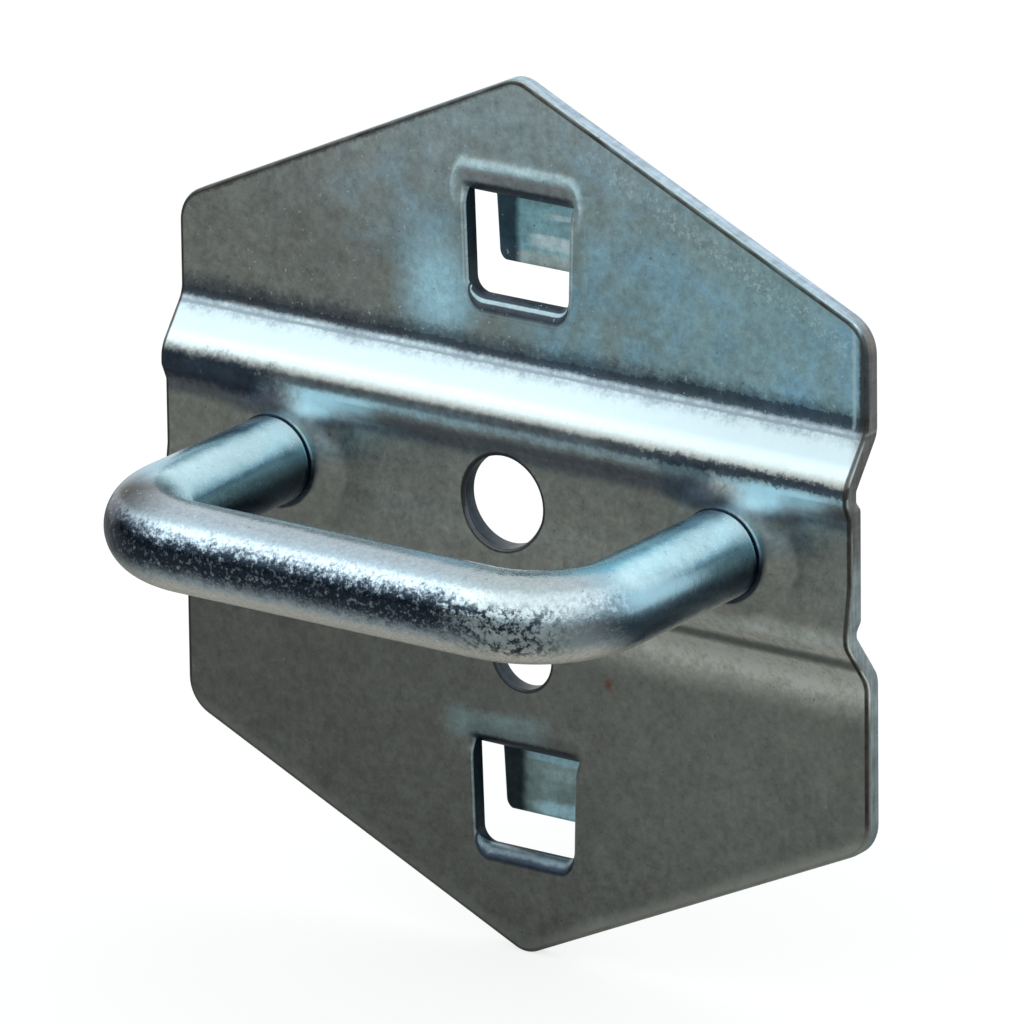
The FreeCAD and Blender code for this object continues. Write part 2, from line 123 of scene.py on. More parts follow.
class PlateSizes(bpy.types.PropertyGroup):
    """Sizes of the pressed plate."""

    width: length("Width", (PLATE_HIGH[0] - PLATE_LOW[0]) / MM, "Across the two upright sides")
    side_height: length("Side height", 35.2, "Length of each upright side, corner to corner")
    point_height: length("Point height", 60.4, "From the upper point to the lower one, before rounding")
    corner_round: length("Corner round", 2.6, "Radius of the four side corners")
    point_round: length("Point round", 2.0, "Radius of the two points")
    thickness: length("Thickness", 1.2, "Sheet thickness")
    edge_roll: length("Edge roll", 0.25, "Rounding that the blanking die leaves on the front edge")
    burr_round: length("Back edge", 0.07, "Rounding of the back edges")
    band_level: length("Band level", 2.4, "Height of the band's middle above the origin")
    band_flat: length("Band flat", 10.7, "From ridge to ridge")
    band_rise: length("Band rise", 2.45, "How far the ridges stand out from the flanges")
    band_angle: slope("Flank slope", 37.0, "Slope of the band's flanks")
    band_dip: length("Band dip", 0.5, "How far the band is pressed back between its ridges")
    dip_angle: slope("Dip slope", 40.0, "Slope from a ridge down to the pressed middle")
    upper_dip_angle: slope("Upper dip slope", 24.0, "Slope of that step's front below the upper ridge")
    lower_dip_angle: slope("Lower dip slope", 9.0, "Slope of that step's front above the lower ridge")
    upper_land: length("Upper land", 1.15, "Flat width of the upper ridge")
    lower_land: length("Lower land", 0.8, "Flat width of the lower ridge")
    bend_inside: length("Bend inside", 0.4, "Inner radius of the bends")
    ridge_round: length("Ridge round", 2.2, "Radius of the upper ridge on the front")
    root_round: length("Root round", 1.9, "Radius on the front where a flange runs into a flank")
    dip_round: length("Dip round", 0.4, "Radius where the ridges run into the middle")
    hole_pitch: length("Hole pitch", 38.0, "Pitch of the panel's holes, and so of the tabs")
    window_drop: length("Window drop", 0.6, "How far the windows lie below the plate's middle")
    window_height: length("Window height", 7.15, "Height of a window")
    window_width: length("Window width", 8.3, "Width of a window at its tab")
    window_flare: length("Window flare", 0.2, "How much each side of a window draws in at its foot")
    window_round: length("Window round", 1.1, "Radius of a window's two lower corners")
    window_roll: length("Window roll", 0.16, "Rounding of a window's front edge")
    foot_roll: length("Foot roll", 1.15, "The same at a window's foot, where the tab was cut off")
    fold_round: length("Fold round", 1.8, "Radius of the fold from the plate's face into a tab")
    fold_lip: length("Fold lip", 0.18, "Height of the faint lip where that fold begins")
    tab_space: length("Tab space", 2.2, "Room between plate and tab for the panel")
    tab_angle: slope("Tab slope", 75.0, "Slope of the tab's step")
    tab_short: length("Tab short", 1.5, "How much shorter the tab is than its window")
    tab_taper: length("Tab taper", 0.3, "How much each side of the tab draws in")
    tab_round: length("Tab round", 0.7, "Radius of the tab's two tip corners")
    tab_roll: length("Tab roll", 0.3, "Rounding of the tab's front edges")
    centre_hole: length("Centre hole", 6.2, "Diameter of the hole in the band")
    axis_drop: length("Axis drop", 0.55, "How far that hole and the legs lie below the band's middle")
    screw_hole: length("Screw hole", 4.5, "Diameter of the hole in the lower flange")
    screw_hole_margin: length("Screw hole margin", 3.2, "From the band's lower edge to that hole's middle")
    hole_roll: length("Hole roll", 0.2, "Rounding of the holes' front edges")
    spigot_hole: length("Spigot hole", 4.5, "Diameter of the hole that a leg's spigot passes")
    collar_rise: length("Collar rise", 0.95, "How far the sheet is drawn out round a leg")
    collar_lip: length("Collar lip", 3.5, "Radius of the collar's flat top")
    collar_foot: length("Collar foot", 5.2, "Radius at which the collar runs out")
    dimple_floor: length("Dimple floor", 3.2, "Radius of the flat floor of the dimple behind")
    dimple_foot: length("Dimple foot", 4.5, "Radius at which the dimple runs out")


class BarSizes(bpy.types.PropertyGroup):
    """Sizes of the bent bar and its riveted ends."""

    wire: length("Wire", (BAR_HIGH[2] - BAR_LOW[2]) / MM, "Diameter of the bar's wire")
    leg_pitch: length("Leg pitch", 35.5, "Between the axes of the two legs")
    front: length("Front", -BAR_LOW[1] / MM, "From the panel's face to the front of the bar")
    bend_inside: length("Bend inside", 3.0, "Inner radius of the bar's two bends")
    bend_steps: IntProperty(name="Bend steps", description="Divisions of each bend", default=36, min=4)
    rim_steps: IntProperty(name="Rim steps", description="Divisions round the wire", default=72, min=12)
    end_round: length("End round", 0.3, "Rounding of the bar's shoulders")
    shoulder_width: length("Shoulder width", 0.8, "How far the leg stands out round its spigot")
    head_overhang: length("Head overhang", 0.8, "How far the peened head stands out round the spigot")
    head_height: length("Head height", 1.3, "Height of the peened head")
    head_round: length("Head round", 0.9, "Rounding of the peened head")


class ZincFinish(bpy.types.PropertyGroup):
    """Colours and sheen of the zinc plating, some of them painted highlights, reflections and shade."""

    # cool, darkened, also paints the shade beside the collars.
    cool: colour("Cool tint", (0.42, 0.70, 0.86), "Blue passivation of the upper flange")
    # teal also colours a painted reflection over the lower window's fold.
    teal: colour("Teal tint", (0.46, 0.66, 0.69), "Blue-green passivation")
    warm: colour("Warm tint", (0.372, 0.375, 0.34), "Grey-brown passivation")
    # bright is the painted highlight, partly abrasion, on the ridges and the lower window's fold lip; it also
    # colours the bar's bright specks.
    bright: colour("Bright tint", (0.58, 0.76, 0.82), "Zinc rubbed bright along folds and ridges")
    pale: colour("Pale tint", (0.62, 0.70, 0.70), "Paler zinc towards the upper point")
    # low_slope is a painted reflection on and under the band's lower flank, and it also colours a pale band
    # inside the lower edges.
    low_slope: colour("Low slope tint", (1.0, 0.99, 0.90), "Rubbed zinc on and under the band's lower flank")
    # flank is a paler copy of the zinc for the upper flank: a painted highlight.
    flank: colour("Flank tint", (0.70, 0.84, 0.89), "Clean zinc of the band's upper flank")
    # fold is a painted reflection where the sheet turns back into the upper tab.
    fold: colour("Fold tint", (0.42, 0.40, 0.39), "Grey-pink zinc where the sheet folds into a tab")
    # deep paints shade and dark reflections: in the bends, under the upper ridge, round the collars and holes,
    # on the tabs' sides, in the windows' rolled feet, along the bar's front and under its legs.
    deep: colour("Deep tint", (0.03, 0.046, 0.08), "Blue-black passivation in the bends")
    stain: colour("Stain", (0.07, 0.06, 0.052), "Dark specks and handling marks")
    rust: colour("Rust", (0.30, 0.09, 0.06), "A tiny rust spot")
    sheared: colour("Sheared edge", (0.22, 0.215, 0.21), "Walls of the blank's upright and lower edges")
    sheared_low: colour("Sheared low", (0.40, 0.47, 0.485), "Walls of the blank's lower upright edges")
    # sheared_top is a lighter copy of the sheared walls for the upper edges, which face the light: painted
    # light.
    sheared_top: colour("Sheared top", (0.50, 0.62, 0.72), "Walls of the blank's upper edges")
    tab: colour("Tab tint", (0.50, 0.80, 0.86), "Blue zinc of the upper tab")
    low_tab: colour("Lower tab tint", (0.50, 0.62, 0.59), "Duller zinc of the lower tab")
    # tab_tip is a painted highlight on the upper tab towards its tip.
    tab_tip: colour("Tab tip tint", (0.95, 0.92, 0.86), "Warm zinc towards the upper tab's tip")
    punched: colour("Punched walls", (0.035, 0.05, 0.062), "Walls of the holes and windows")
    wire: colour("Wire tint", (0.59, 0.71, 0.79), "Zinc on the front of the bar")
    # under is a painted reflection of the floor along the bar's underside and under its legs.
    under: colour("Under tint", (1.0, 0.93, 0.80), "Grey-brown zinc along the bar's underside")
    leg: colour("Leg tint", (0.36, 0.61, 0.73), "Zinc on the bar's legs")
    # leg_gleam and glint are painted highlights, and so is gleam, which also colours the bright specks.
    leg_gleam: colour("Leg gleam", (0.70, 0.93, 1.0),
                      "The bright streak along a leg and the lip over the upper window")
    gleam: colour("Gleam", (0.82, 0.97, 1.0), "Bright, cloudy zinc on the legs and above them")
    glint: colour("Blue gleam", (0.56, 0.88, 1.0), "The same where it is bluer")
    plate_roughness: share("Plate roughness", 0.38, "Roughness of the sheet's rolled faces")
    bar_roughness: share("Bar roughness", 0.25, "Roughness of the drawn wire")


class StudioSettings(bpy.types.PropertyGroup):
    """Floor, light and camera."""

    floor_colour: colour("Floor", (0.25, 0.247, 0.24), "Colour of the plain floor")
    floor_glow: share("Floor glow", 0.76, "Light of its own that turns the floor white to the lens")
    floor_radius: length("Floor radius", 4000.0, "Radius of the floor")
    ground_light: share("Low light", 0.04, "Light of the studio just above the floor, in front", 4.0)
    side_light: share("Side light", 0.5, "Light of the studio just above the floor, to the right", 4.0)
    sky_light: share("High light", 1.3, "Light of the studio above the horizon band", 8.0)
    top_light: share("Top light", 1.15, "Light of the studio overhead", 8.0)
    low_tint: colour("Low tint", (0.72, 0.90, 1.0), "Tint of the light below the horizon band")
    high_tint: colour("High tint", (0.90, 0.975, 1.0), "Tint of the light above the horizon band")
    key_size: length("Key size", 500.0, "Diameter of the large soft lamp")
    key_place: FloatVectorProperty(name="Key place", description="Where the lamp stands, turned to the hook",
                                   default=(-0.45, -0.468, 0.612), size=3, unit="LENGTH", subtype="XYZ")
    key_power: FloatProperty(name="Key light", description="Power of the large soft lamp", default=0.35,
                             min=0.0, subtype="POWER")
    azimuth: slope("Azimuth", 35.3, "How far the camera stands round to the right")
    elevation: slope("Elevation", 18.6, "How far the camera stands above the hook")
    roll: slope("Roll", -0.69, "Turn of the camera about its own axis")
    distance: length("Distance", 915.0, "From the hook to the camera")
    target_x: FloatProperty(name="Aim across", description="Where the camera aims, across the plate",
                            default=-1.5 * MM, unit="LENGTH", subtype="DISTANCE", precision=5)
    lens: FloatProperty(name="Focal length", description="Focal length for a 36 mm sensor, in millimetres",
                        default=492.2, min=10.0)


# ---------------------------------------------------------------------------
# Lines and loops
# ---------------------------------------------------------------------------

def unit(vector):
    return vector / np.linalg.norm(vector)


def ease(values):
    """Smooth step from 0 to 1."""
    values = np.clip(values, 0.0, 1.0)
    return values * values * (3.0 - 2.0 * values)


def arc_between(before, corner, after, radius, steps):
    """Points of the arc that rounds a corner, from the side of the point before it."""
    corner = np.array(corner, float)
    back, ahead = unit(np.array(before) - corner), unit(np.array(after) - corner)
    half = math.acos(np.clip(back @ ahead, -1.0, 1.0)) / 2
    reach = radius / math.tan(half)
    centre = corner + unit(back + ahead) * radius / math.sin(half)
    start, end = corner + back * reach - centre, corner + ahead * reach - centre
    sweep = math.pi - 2 * half
    turns = np.linspace(0.0, 1.0, steps + 1)
    return [centre + (start * math.sin((1 - turn) * sweep) + end * math.sin(turn * sweep)) / math.sin(sweep)
            for turn in turns]


def bent_line(corners, steps=9):
    """Open line through (first, second, radius) corners, with its inner corners rounded."""
    points = [np.array(corners[0][:2], float)]
    for before, corner, after in zip(corners, corners[1:], corners[2:]):
        points += arc_between(before[:2], corner[:2], after[:2], corner[2], steps)
    points.append(np.array(corners[-1][:2], float))
    return np.array(points)


def closed_loop(corners, spacing, stops=()):
    """Anticlockwise loop through (across, up, radius) corners.

    Returns its points and their outward directions, mitred at a sharp corner. Upright runs
    get a point at each stop and the others are divided evenly.
    """
    arcs = []
    count = len(corners)
    for number, corner in enumerate(corners):
        before, after = corners[number - 1], corners[(number + 1) % count]
        place = np.array(corner[:2], float)
        came, goes = unit(place - before[:2]), unit(np.array(after[:2]) - place)
        first, last = np.array([came[1], -came[0]]), np.array([goes[1], -goes[0]])
        if corner[2] == 0:
            arcs.append([(place, (first + last) / (1 + first @ last))])
            continue
        steps = max(6, round(math.acos(np.clip(came @ goes, -1, 1)) / math.radians(7)))
        rounded = arc_between(before[:2], place, after[:2], corner[2], steps)
        centre = rounded[0] - first * corner[2]
        arcs.append([(point, (point - centre) / corner[2]) for point in rounded])
    points, directions = [], []
    for arc, following in zip(arcs, arcs[1:] + arcs[:1]):
        for point, direction in arc:
            points.append(point)
            directions.append(direction)
        start, end = arc[-1][0], following[0][0]
        run = end - start
        outward = unit(np.array([run[1], -run[0]]))
        if abs(run[0]) < 1e-9 and len(stops):
            shares = sorted((stop - start[1]) / run[1] for stop in stops)
            shares = [value for value in shares if 0.004 < value < 0.996]
        else:
            pieces = max(1, round(np.linalg.norm(run) / spacing))
            shares = np.arange(1, pieces) / pieces
        for value in shares:
            points.append(start + run * value)
            directions.append(outward)
    return np.array(points), np.array(directions)


def circle_loop(centre, radius, count, turned=0.0):
    """A circle's points and their outward directions, turned by a share of one step."""
    turns = np.arange(count) * 2 * math.pi / count + turned * 2 * math.pi / count
    directions = np.stack([np.cos(turns), np.sin(turns)], axis=1)
    return np.array(centre) + directions * radius, directions


def odd_inside(places, rings):
    """True for each place that an odd number of the closed rings goes round."""
    crossings = np.zeros(len(places), int)
    for ring in rings:
        for start, end in zip(ring, np.roll(ring, -1, axis=0)):
            if start[1] == end[1]:
                continue
            passes = (start[1] > places[:, 1]) != (end[1] > places[:, 1])
            across = start[0] + (places[:, 1] - start[1]) * (end[0] - start[0]) / (end[1] - start[1])
            crossings += passes & (places[:, 0] < across)
    return crossings % 2 == 1


def spread(values, least=0.03 * MM):
    """The values in order, without those that lie closer than the least step to the one before."""
    kept = []
    for value in sorted(values):
        if not kept or value - kept[-1] >= least:
            kept.append(float(value))
    return kept


def region_between(triangles, rings, ring_places):
    """The triangles inside the first closed ring and outside the others.

    A triangle with a border edge is told by the side of the ring that it lies on, and the rest
    follow their neighbours, so thin triangles along a straight border are told rightly too.
    """
    borders = {}
    for number, (ring, places) in enumerate(zip(rings, ring_places)):
        following = np.roll(places, -1, axis=0)
        anticlockwise = np.sum(places[:, 0] * following[:, 1] - following[:, 0] * places[:, 1]) > 0
        for start, end in zip(ring.tolist(), np.roll(ring, -1).tolist()):
            borders[(start, end)] = anticlockwise == (number == 0)
            borders[(end, start)] = not borders[(start, end)]
    sides = [list(zip(triangle, triangle[1:] + triangle[:1])) for triangle in triangles]
    owners = {side: number for number, triangle in enumerate(sides) for side in triangle}
    inside = {owners[side]: kept for side, kept in borders.items() if side in owners}
    waiting = list(inside)
    while waiting:
        number = waiting.pop()
        for start, end in sides[number]:
            other = owners.get((end, start))
            if (start, end) not in borders and other is not None and other not in inside:
                inside[other] = inside[number]
                waiting.append(other)
    return [triangle for number, triangle in enumerate(triangles) if inside.get(number)]


def staggered_grid(across, up):
    """Grid of places whose every other row is moved by half a step."""
    step = across[1] - across[0]
    rows = [np.stack([across + (step / 2 if number % 2 else 0.0), np.full(len(across), level)], axis=1)
            for number, level in enumerate(up)]
    return np.concatenate(rows)


# ---------------------------------------------------------------------------
# The plate's rule
# ---------------------------------------------------------------------------

class PlateShape:
    """The two faces of the plate as heights over (across, up) places, from its sizes."""

    def __init__(self, sizes, bar):
        self.sizes = sizes
        flank = sizes.band_rise / math.tan(sizes.band_angle)
        dip = sizes.band_dip / math.tan(sizes.dip_angle)
        upper_dip = sizes.band_dip / math.tan(sizes.upper_dip_angle)
        lower_dip = sizes.band_dip / math.tan(sizes.lower_dip_angle)
        mitre = sizes.thickness * math.tan(sizes.band_angle / 2)
        upper = sizes.band_level + sizes.band_flat / 2
        lower = sizes.band_level - sizes.band_flat / 2
        reach = sizes.point_height / 2 + sizes.thickness
        ridge = -(sizes.band_rise + sizes.thickness)
        middle = ridge + sizes.band_dip
        outside = sizes.bend_inside + sizes.thickness
        self.upper_ridge, self.lower_ridge = upper, lower
        self.front_line = bent_line([
            (-reach, -sizes.thickness, 0),
            (lower - flank, -sizes.thickness, sizes.root_round),
            (lower, ridge, outside),
            (lower + sizes.lower_land, ridge, sizes.dip_round),
            (lower + sizes.lower_land + lower_dip, middle, sizes.dip_round),
            (upper - sizes.upper_land - upper_dip, middle, sizes.dip_round),
            (upper - sizes.upper_land, ridge, sizes.dip_round),
            (upper, ridge, sizes.ridge_round),
            (upper + flank, -sizes.thickness, sizes.root_round),
            (reach, -sizes.thickness, 0),
        ])
        self.back_line = bent_line([
            (-reach, 0, 0),
            (lower - flank + mitre, 0, outside),
            (lower + mitre, -sizes.band_rise, sizes.bend_inside),
            (lower + sizes.lower_land, -sizes.band_rise, sizes.dip_round),
            (lower + sizes.lower_land + dip, sizes.band_dip - sizes.band_rise, sizes.dip_round),
            (upper - sizes.upper_land - dip, sizes.band_dip - sizes.band_rise, sizes.dip_round),
            (upper - sizes.upper_land, -sizes.band_rise, sizes.dip_round),
            (upper - mitre, -sizes.band_rise, sizes.bend_inside),
            (upper + flank - mitre, 0, outside),
            (reach, 0, 0),
        ])
        axis = sizes.band_level - sizes.axis_drop
        self.legs = [(-bar.leg_pitch / 2, axis), (bar.leg_pitch / 2, axis)]
        self.centre_hole = (0.0, axis)
        self.screw_hole = (0.0, lower - flank - sizes.screw_hole_margin)
        self.collar_top = middle - sizes.collar_rise
        self.dimple_top = self.collar_top + sizes.thickness
        foot = (sizes.hole_pitch - sizes.window_height) / 2 - sizes.window_drop
        self.feet = [foot, foot - sizes.hole_pitch]
        self.half_top = sizes.window_width / 2
        self.fold_reach = sizes.fold_round * math.tan(sizes.tab_angle / 2)

    def stops(self, line):
        """Heights at which a section line bends, with one more just before and after each bend."""
        ups = line[1:-1, 0]
        return spread(np.concatenate([ups, ups[::10] - STOP_MARGIN, ups[9::10] + STOP_MARGIN]))

    def fold_drop(self, places, foot):
        """How far the face has turned back towards a window's upper edge."""
        near = np.clip(self.fold_reach - self.from_window_top(places, foot), 0.0, None)
        drop = self.sizes.fold_round - np.sqrt(self.sizes.fold_round ** 2 - near ** 2)
        return drop - self.sizes.fold_lip * self.lip(places, foot)

    def lip(self, places, foot):
        """The lip over a fold, from 0 to 1: it runs out down the sides and is faint at the lower window."""
        away = self.from_window_top(places, foot)
        beside = ease((places[:, 1] - foot - self.sizes.window_height + 2.0 * MM) / (2.5 * MM))
        strength = 1.0 if foot > 0 else LOWER_LIP
        return strength * beside * np.exp(-((away - 1.3 * self.fold_reach) / (0.24 * self.fold_reach)) ** 2)

    def from_window_top(self, places, foot):
        """Distance from a window's upper edge, counted double to its sides, where the fold is shorter."""
        across = np.clip(np.abs(places[:, 0]) - self.half_top, 0.0, None)
        return np.hypot(across * 2.0, places[:, 1] - foot - self.sizes.window_height)

    def front(self, places):
        """Levels of the front, with the collars, the bridges of sheet above them and the folds."""
        sizes = self.sizes
        levels = np.interp(places[:, 1], self.front_line[:, 0], self.front_line[:, 1])
        ridge = -(sizes.band_rise + sizes.thickness)
        run = sizes.collar_foot - sizes.collar_lip
        under_ridge = places[:, 1] < self.upper_ridge - sizes.upper_land + MM / 4
        for leg in self.legs:
            across, up = places[:, 0] - leg[0], places[:, 1] - leg[1]
            away = np.hypot(across, up)
            bridge = ease((sizes.collar_foot + BRIDGE_MARGIN - np.abs(across)) / BRIDGE_FADE)
            bridge *= ease((up - BRIDGE_START) / BRIDGE_RUN) * under_ridge
            levels += bridge * np.clip(ridge - levels, None, 0.0)
            levels += ease((sizes.collar_foot - away) / run) * (self.collar_top - levels)
        for foot in self.feet:
            levels += self.fold_drop(places, foot)
        return levels

    def back(self, places):
        """Levels of the back, with the dimples behind the legs."""
        levels = np.interp(places[:, 1], self.back_line[:, 0], self.back_line[:, 1])
        run = self.sizes.dimple_foot - self.sizes.dimple_floor
        for leg in self.legs:
            away = np.hypot(places[:, 0] - leg[0], places[:, 1] - leg[1])
            levels += ease((self.sizes.dimple_foot - away) / run) * (self.dimple_top - levels)
        return levels

    def sheen_and_wear(self, places):
        """How much abrasion with painted highlight the front gets: on the ridges and on the lips over the
        folds.
        """
        sizes = self.sizes
        rubbed_and_lit = np.zeros(len(places))
        for start, end, most in ((self.upper_ridge - sizes.upper_land, self.upper_ridge - 0.2 * MM, 0.85),
                                 (self.lower_ridge, self.lower_ridge + sizes.lower_land, 0.15)):
            rubbed_and_lit += (most * ease((places[:, 1] - start) / SHEEN_AND_WEAR_FADE + 1)
                       * ease((end - places[:, 1]) / SHEEN_AND_WEAR_FADE))
        for foot in self.feet:
            rubbed_and_lit += 0.8 * self.lip(places, foot)
        return np.clip(rubbed_and_lit, 0.0, 1.0)

    def outline(self, stops):
        half, side, point = self.sizes.width / 2, self.sizes.side_height / 2, self.sizes.point_height / 2
        corner, tip = self.sizes.corner_round, self.sizes.point_round
        corners = [(half, -side, corner), (half, side, corner), (0, point, tip), (-half, side, corner),
                   (-half, -side, corner), (0, -point, tip)]
        return closed_loop(corners, OUTLINE_STEP, stops)

    def tab_half_width(self, up, foot):
        """Half the tab's width at a height, drawn in towards its rounded tip."""
        sizes = self.sizes
        top, tip = foot + sizes.window_height, foot + sizes.tab_short
        half = self.half_top - sizes.tab_taper * np.clip((top - up) / (top - tip), 0.0, 1.0)
        short = np.clip(sizes.tab_round - (up - tip), 0.0, None)
        return half - (sizes.tab_round - np.sqrt(sizes.tab_round ** 2 - short ** 2))


class SheetMesh:
    """Collects the points and faces of the closed plate."""

    def __init__(self):
        self.points = np.zeros((0, 3))
        self.marks = {"worn": np.zeros(0), "soiled": np.zeros(0), "rolled": np.zeros(0)}
        self.faces = []
        self.cut = []

    def add(self, places, levels, worn=0.0, soiled=0.0, rolled=0.0):
        """Adds points at (across, up) places and levels, and returns their numbers."""
        places = np.asarray(places)
        first = len(self.points)
        row = np.stack([places[:, 0], np.broadcast_to(levels, len(places)), places[:, 1]], axis=1)
        self.points = np.concatenate([self.points, row])
        for name, mark in (("worn", worn), ("soiled", soiled), ("rolled", rolled)):
            self.marks[name] = np.concatenate([self.marks[name], np.broadcast_to(mark, len(places))])
        return np.arange(first, first + len(places))

    def face(self, corners, cut=0.0):
        """Adds a face; cut is BLANK_EDGE or OPENING on a cut wall and 0 elsewhere."""
        self.faces.append([int(corner) for corner in corners])
        self.cut.append(cut)

    def strip(self, first, second, closed=True, cut=0.0):
        """Faces between two rows of equal length."""
        count = len(first)
        for step in range(count if closed else count - 1):
            after = (step + 1) % count
            self.face((first[step], first[after], second[after], second[step]), cut)

    def fill(self, rings, loose, surface, sheen_and_wear):
        """Triangles over the region between closed rings, through loose places inside it."""
        ring_places = [self.points[ring][:, [0, 2]] for ring in rings]
        borders = np.concatenate(ring_places)
        loose = loose[odd_inside(loose, ring_places)]
        clear = np.array([np.min(np.sum((borders - place) ** 2, axis=1)) for place in loose])
        loose = loose[clear > CLEAR_OF_BORDER ** 2]
        numbers = np.concatenate(list(rings) + [self.add(loose, surface(loose), sheen_and_wear(loose))])
        edges, first = [], 0
        for ring in rings:
            edges += [(first + step, first + (step + 1) % len(ring)) for step in range(len(ring))]
            first += len(ring)
        flat = [Vector(place) for place in self.points[numbers][:, [0, 2]] / MM]
        _, _, triangles, origins, _, _ = delaunay_2d_cdt(flat, edges, [], 0, 1e-7)
        if any(len(origin) != 1 for origin in origins):
            raise RuntimeError("two borders of the plate's face cross or touch")
        triangles = [tuple(int(numbers[origins[corner][0]]) for corner in triangle) for triangle in triangles]
        for triangle in region_between(triangles, rings, ring_places):
            self.face(triangle)

    def to_mesh(self, name):
        mesh = bpy.data.meshes.new(name)
        mesh.from_pydata(self.points.tolist(), [], self.faces)
        for mark, values in self.marks.items():
            mesh.attributes.new(mark, "FLOAT", "POINT").data.foreach_set("value", values)
        mesh.attributes.new("cut", "FLOAT", "FACE").data.foreach_set("value", self.cut)
        finish_mesh(mesh, name, PLATE_SHARP)
        return mesh


def finish_mesh(mesh, name, sharp):
    """Turns the faces outward and shades them, sharp where they meet at a larger angle."""
    work = bmesh.new()
    work.from_mesh(mesh)
    bmesh.ops.delete(work, geom=[point for point in work.verts if not point.link_faces], context="VERTS")
    bmesh.ops.recalc_face_normals(work, faces=work.faces)
    if any(not edge.is_manifold for edge in work.edges):
        raise RuntimeError(f"{name} isn't closed")
    work.to_mesh(mesh)
    work.free()
    mesh.shade_smooth()
    mesh.set_sharp_from_angle(angle=sharp)


def rolled_rim(sheet, loop, side, radius, face, surface, sheen_and_wear, steps=7, shares=1.0, widths=1.0,
               rubbed_and_lit=0.0, soiled=0.0):
    """Rows from a cut wall round a quarter circle on to a face.

    side is 1 where the sheet lies outward of the loop and -1 where it lies inward, and face is 1
    for the front and -1 for the back. The last row lies in the face, just past the rounding.
    shares scale its depth and widths its width at each point, and the last two arguments give the most
    that the rounding gets of a painted highlight with abrasion and of a dark line. Where it is deeper than
    wide, it is marked as rolled.
    """
    points, directions = loop
    shallow = np.minimum(shares, 1.0)
    deep = ease((np.asarray(shares) - 1.0) / DEEP_SHARES)
    rows = []
    for turn in np.linspace(0.0, math.pi / 2, steps + 1):
        places = points + side * directions * (radius * (1 - math.cos(turn)) * widths)
        drop = radius * (1 - math.sin(turn))
        bulge = math.sin(2 * turn) ** 2
        outer = ease((turn - 0.35) / 0.5)
        rows.append(sheet.add(places, surface(places) + face * drop * shares,
                              np.maximum(sheen_and_wear(places), rubbed_and_lit * bulge * shallow),
                              soiled * outer * shallow, math.cos(turn) * deep))
    places = points + side * directions * (radius * widths + PAST_ROUNDING)
    rows.append(sheet.add(places, surface(places), sheen_and_wear(places)))
    for row, following in zip(rows, rows[1:]):
        sheet.strip(row, following)
    return rows


def no_wear(places):
    return np.zeros(len(places))


def add_round_hole(sheet, shape, centre, diameter, roll, count):
    """A punched hole; returns the rings that border the front and the back."""
    loop = circle_loop(centre, diameter / 2, count)
    front = rolled_rim(sheet, loop, 1, roll, 1, shape.front, shape.sheen_and_wear, steps=5, soiled=0.7)
    back = rolled_rim(sheet, loop, 1, shape.sizes.burr_round, -1, shape.back, no_wear, steps=2)
    sheet.strip(front[0], back[0], cut=OPENING)
    return front[-1], back[-1]


def window_loop(shape, foot, columns):
    """A window's border: down its left side, round the foot, up the right side, then back along the top.

    Returns its points, their outward directions and the number of points before the top.
    """
    sizes = shape.sizes
    top = foot + sizes.window_height
    foot_half = shape.half_top - sizes.window_flare
    corners = [(-foot_half, foot, sizes.window_round), (foot_half, foot, sizes.window_round),
               (shape.half_top, top, 0), (-shape.half_top, top, 0)]
    points, directions = closed_loop(corners, WINDOW_STEP)
    right = int(np.argmax(points[:, 0] + points[:, 1]))
    left = int(np.argmax(points[:, 1] - points[:, 0]))
    order = [number % len(points) for number in range(left, left + len(points))]
    order = order[:order.index(right) + 1]
    top_row = level_row(columns[-2:0:-1] * shape.half_top, top)
    points = np.concatenate([points[order], top_row])
    directions = np.concatenate([directions[order], np.tile([0.0, 1.0], (len(top_row), 1))])
    return points, directions, len(order)


def level_row(across, up):
    """Places across the plate at one height."""
    return np.stack([across, np.full(len(across), up)], axis=1)


def tab_columns(sizes, half_top):
    """Shares of the half width at which a tab has points, from -1 to 1, closer together at its sides."""
    edge_steps = sizes.tab_roll * (1 - np.cos(np.linspace(0, math.pi / 2, 6))) / half_top
    middle = np.linspace(-1 + sizes.tab_roll * 1.5 / half_top, 0, 9)
    left = np.concatenate([-1 + edge_steps, middle])
    return np.concatenate([left, -left[-2::-1]])


def tab_lines(shape, foot):
    """A tab's front and back in section, from its fold to where it hangs straight, as (level, up) points."""
    sizes = shape.sizes
    top, tip = foot + sizes.window_height, foot + sizes.tab_short
    space, thickness = sizes.tab_space, sizes.thickness
    step_foot = top - (space + thickness) / math.tan(sizes.tab_angle)
    mitre = thickness * math.tan(sizes.tab_angle / 2)
    front = bent_line([(-thickness, top + 3 * shape.fold_reach, 0),
                       (-thickness, top, sizes.fold_round),
                       (space, step_foot, sizes.bend_inside),
                       (space, tip, 0)], 12)[1:-1]
    back = bent_line([(0.0, top + 3 * thickness, 0),
                      (0.0, top + mitre, sizes.bend_inside),
                      (space + thickness, step_foot + mitre, sizes.bend_inside + thickness),
                      (space + thickness, tip, 0)], 8)[1:-1]
    return front[front[:, 1] < top - 0.02 * MM], back


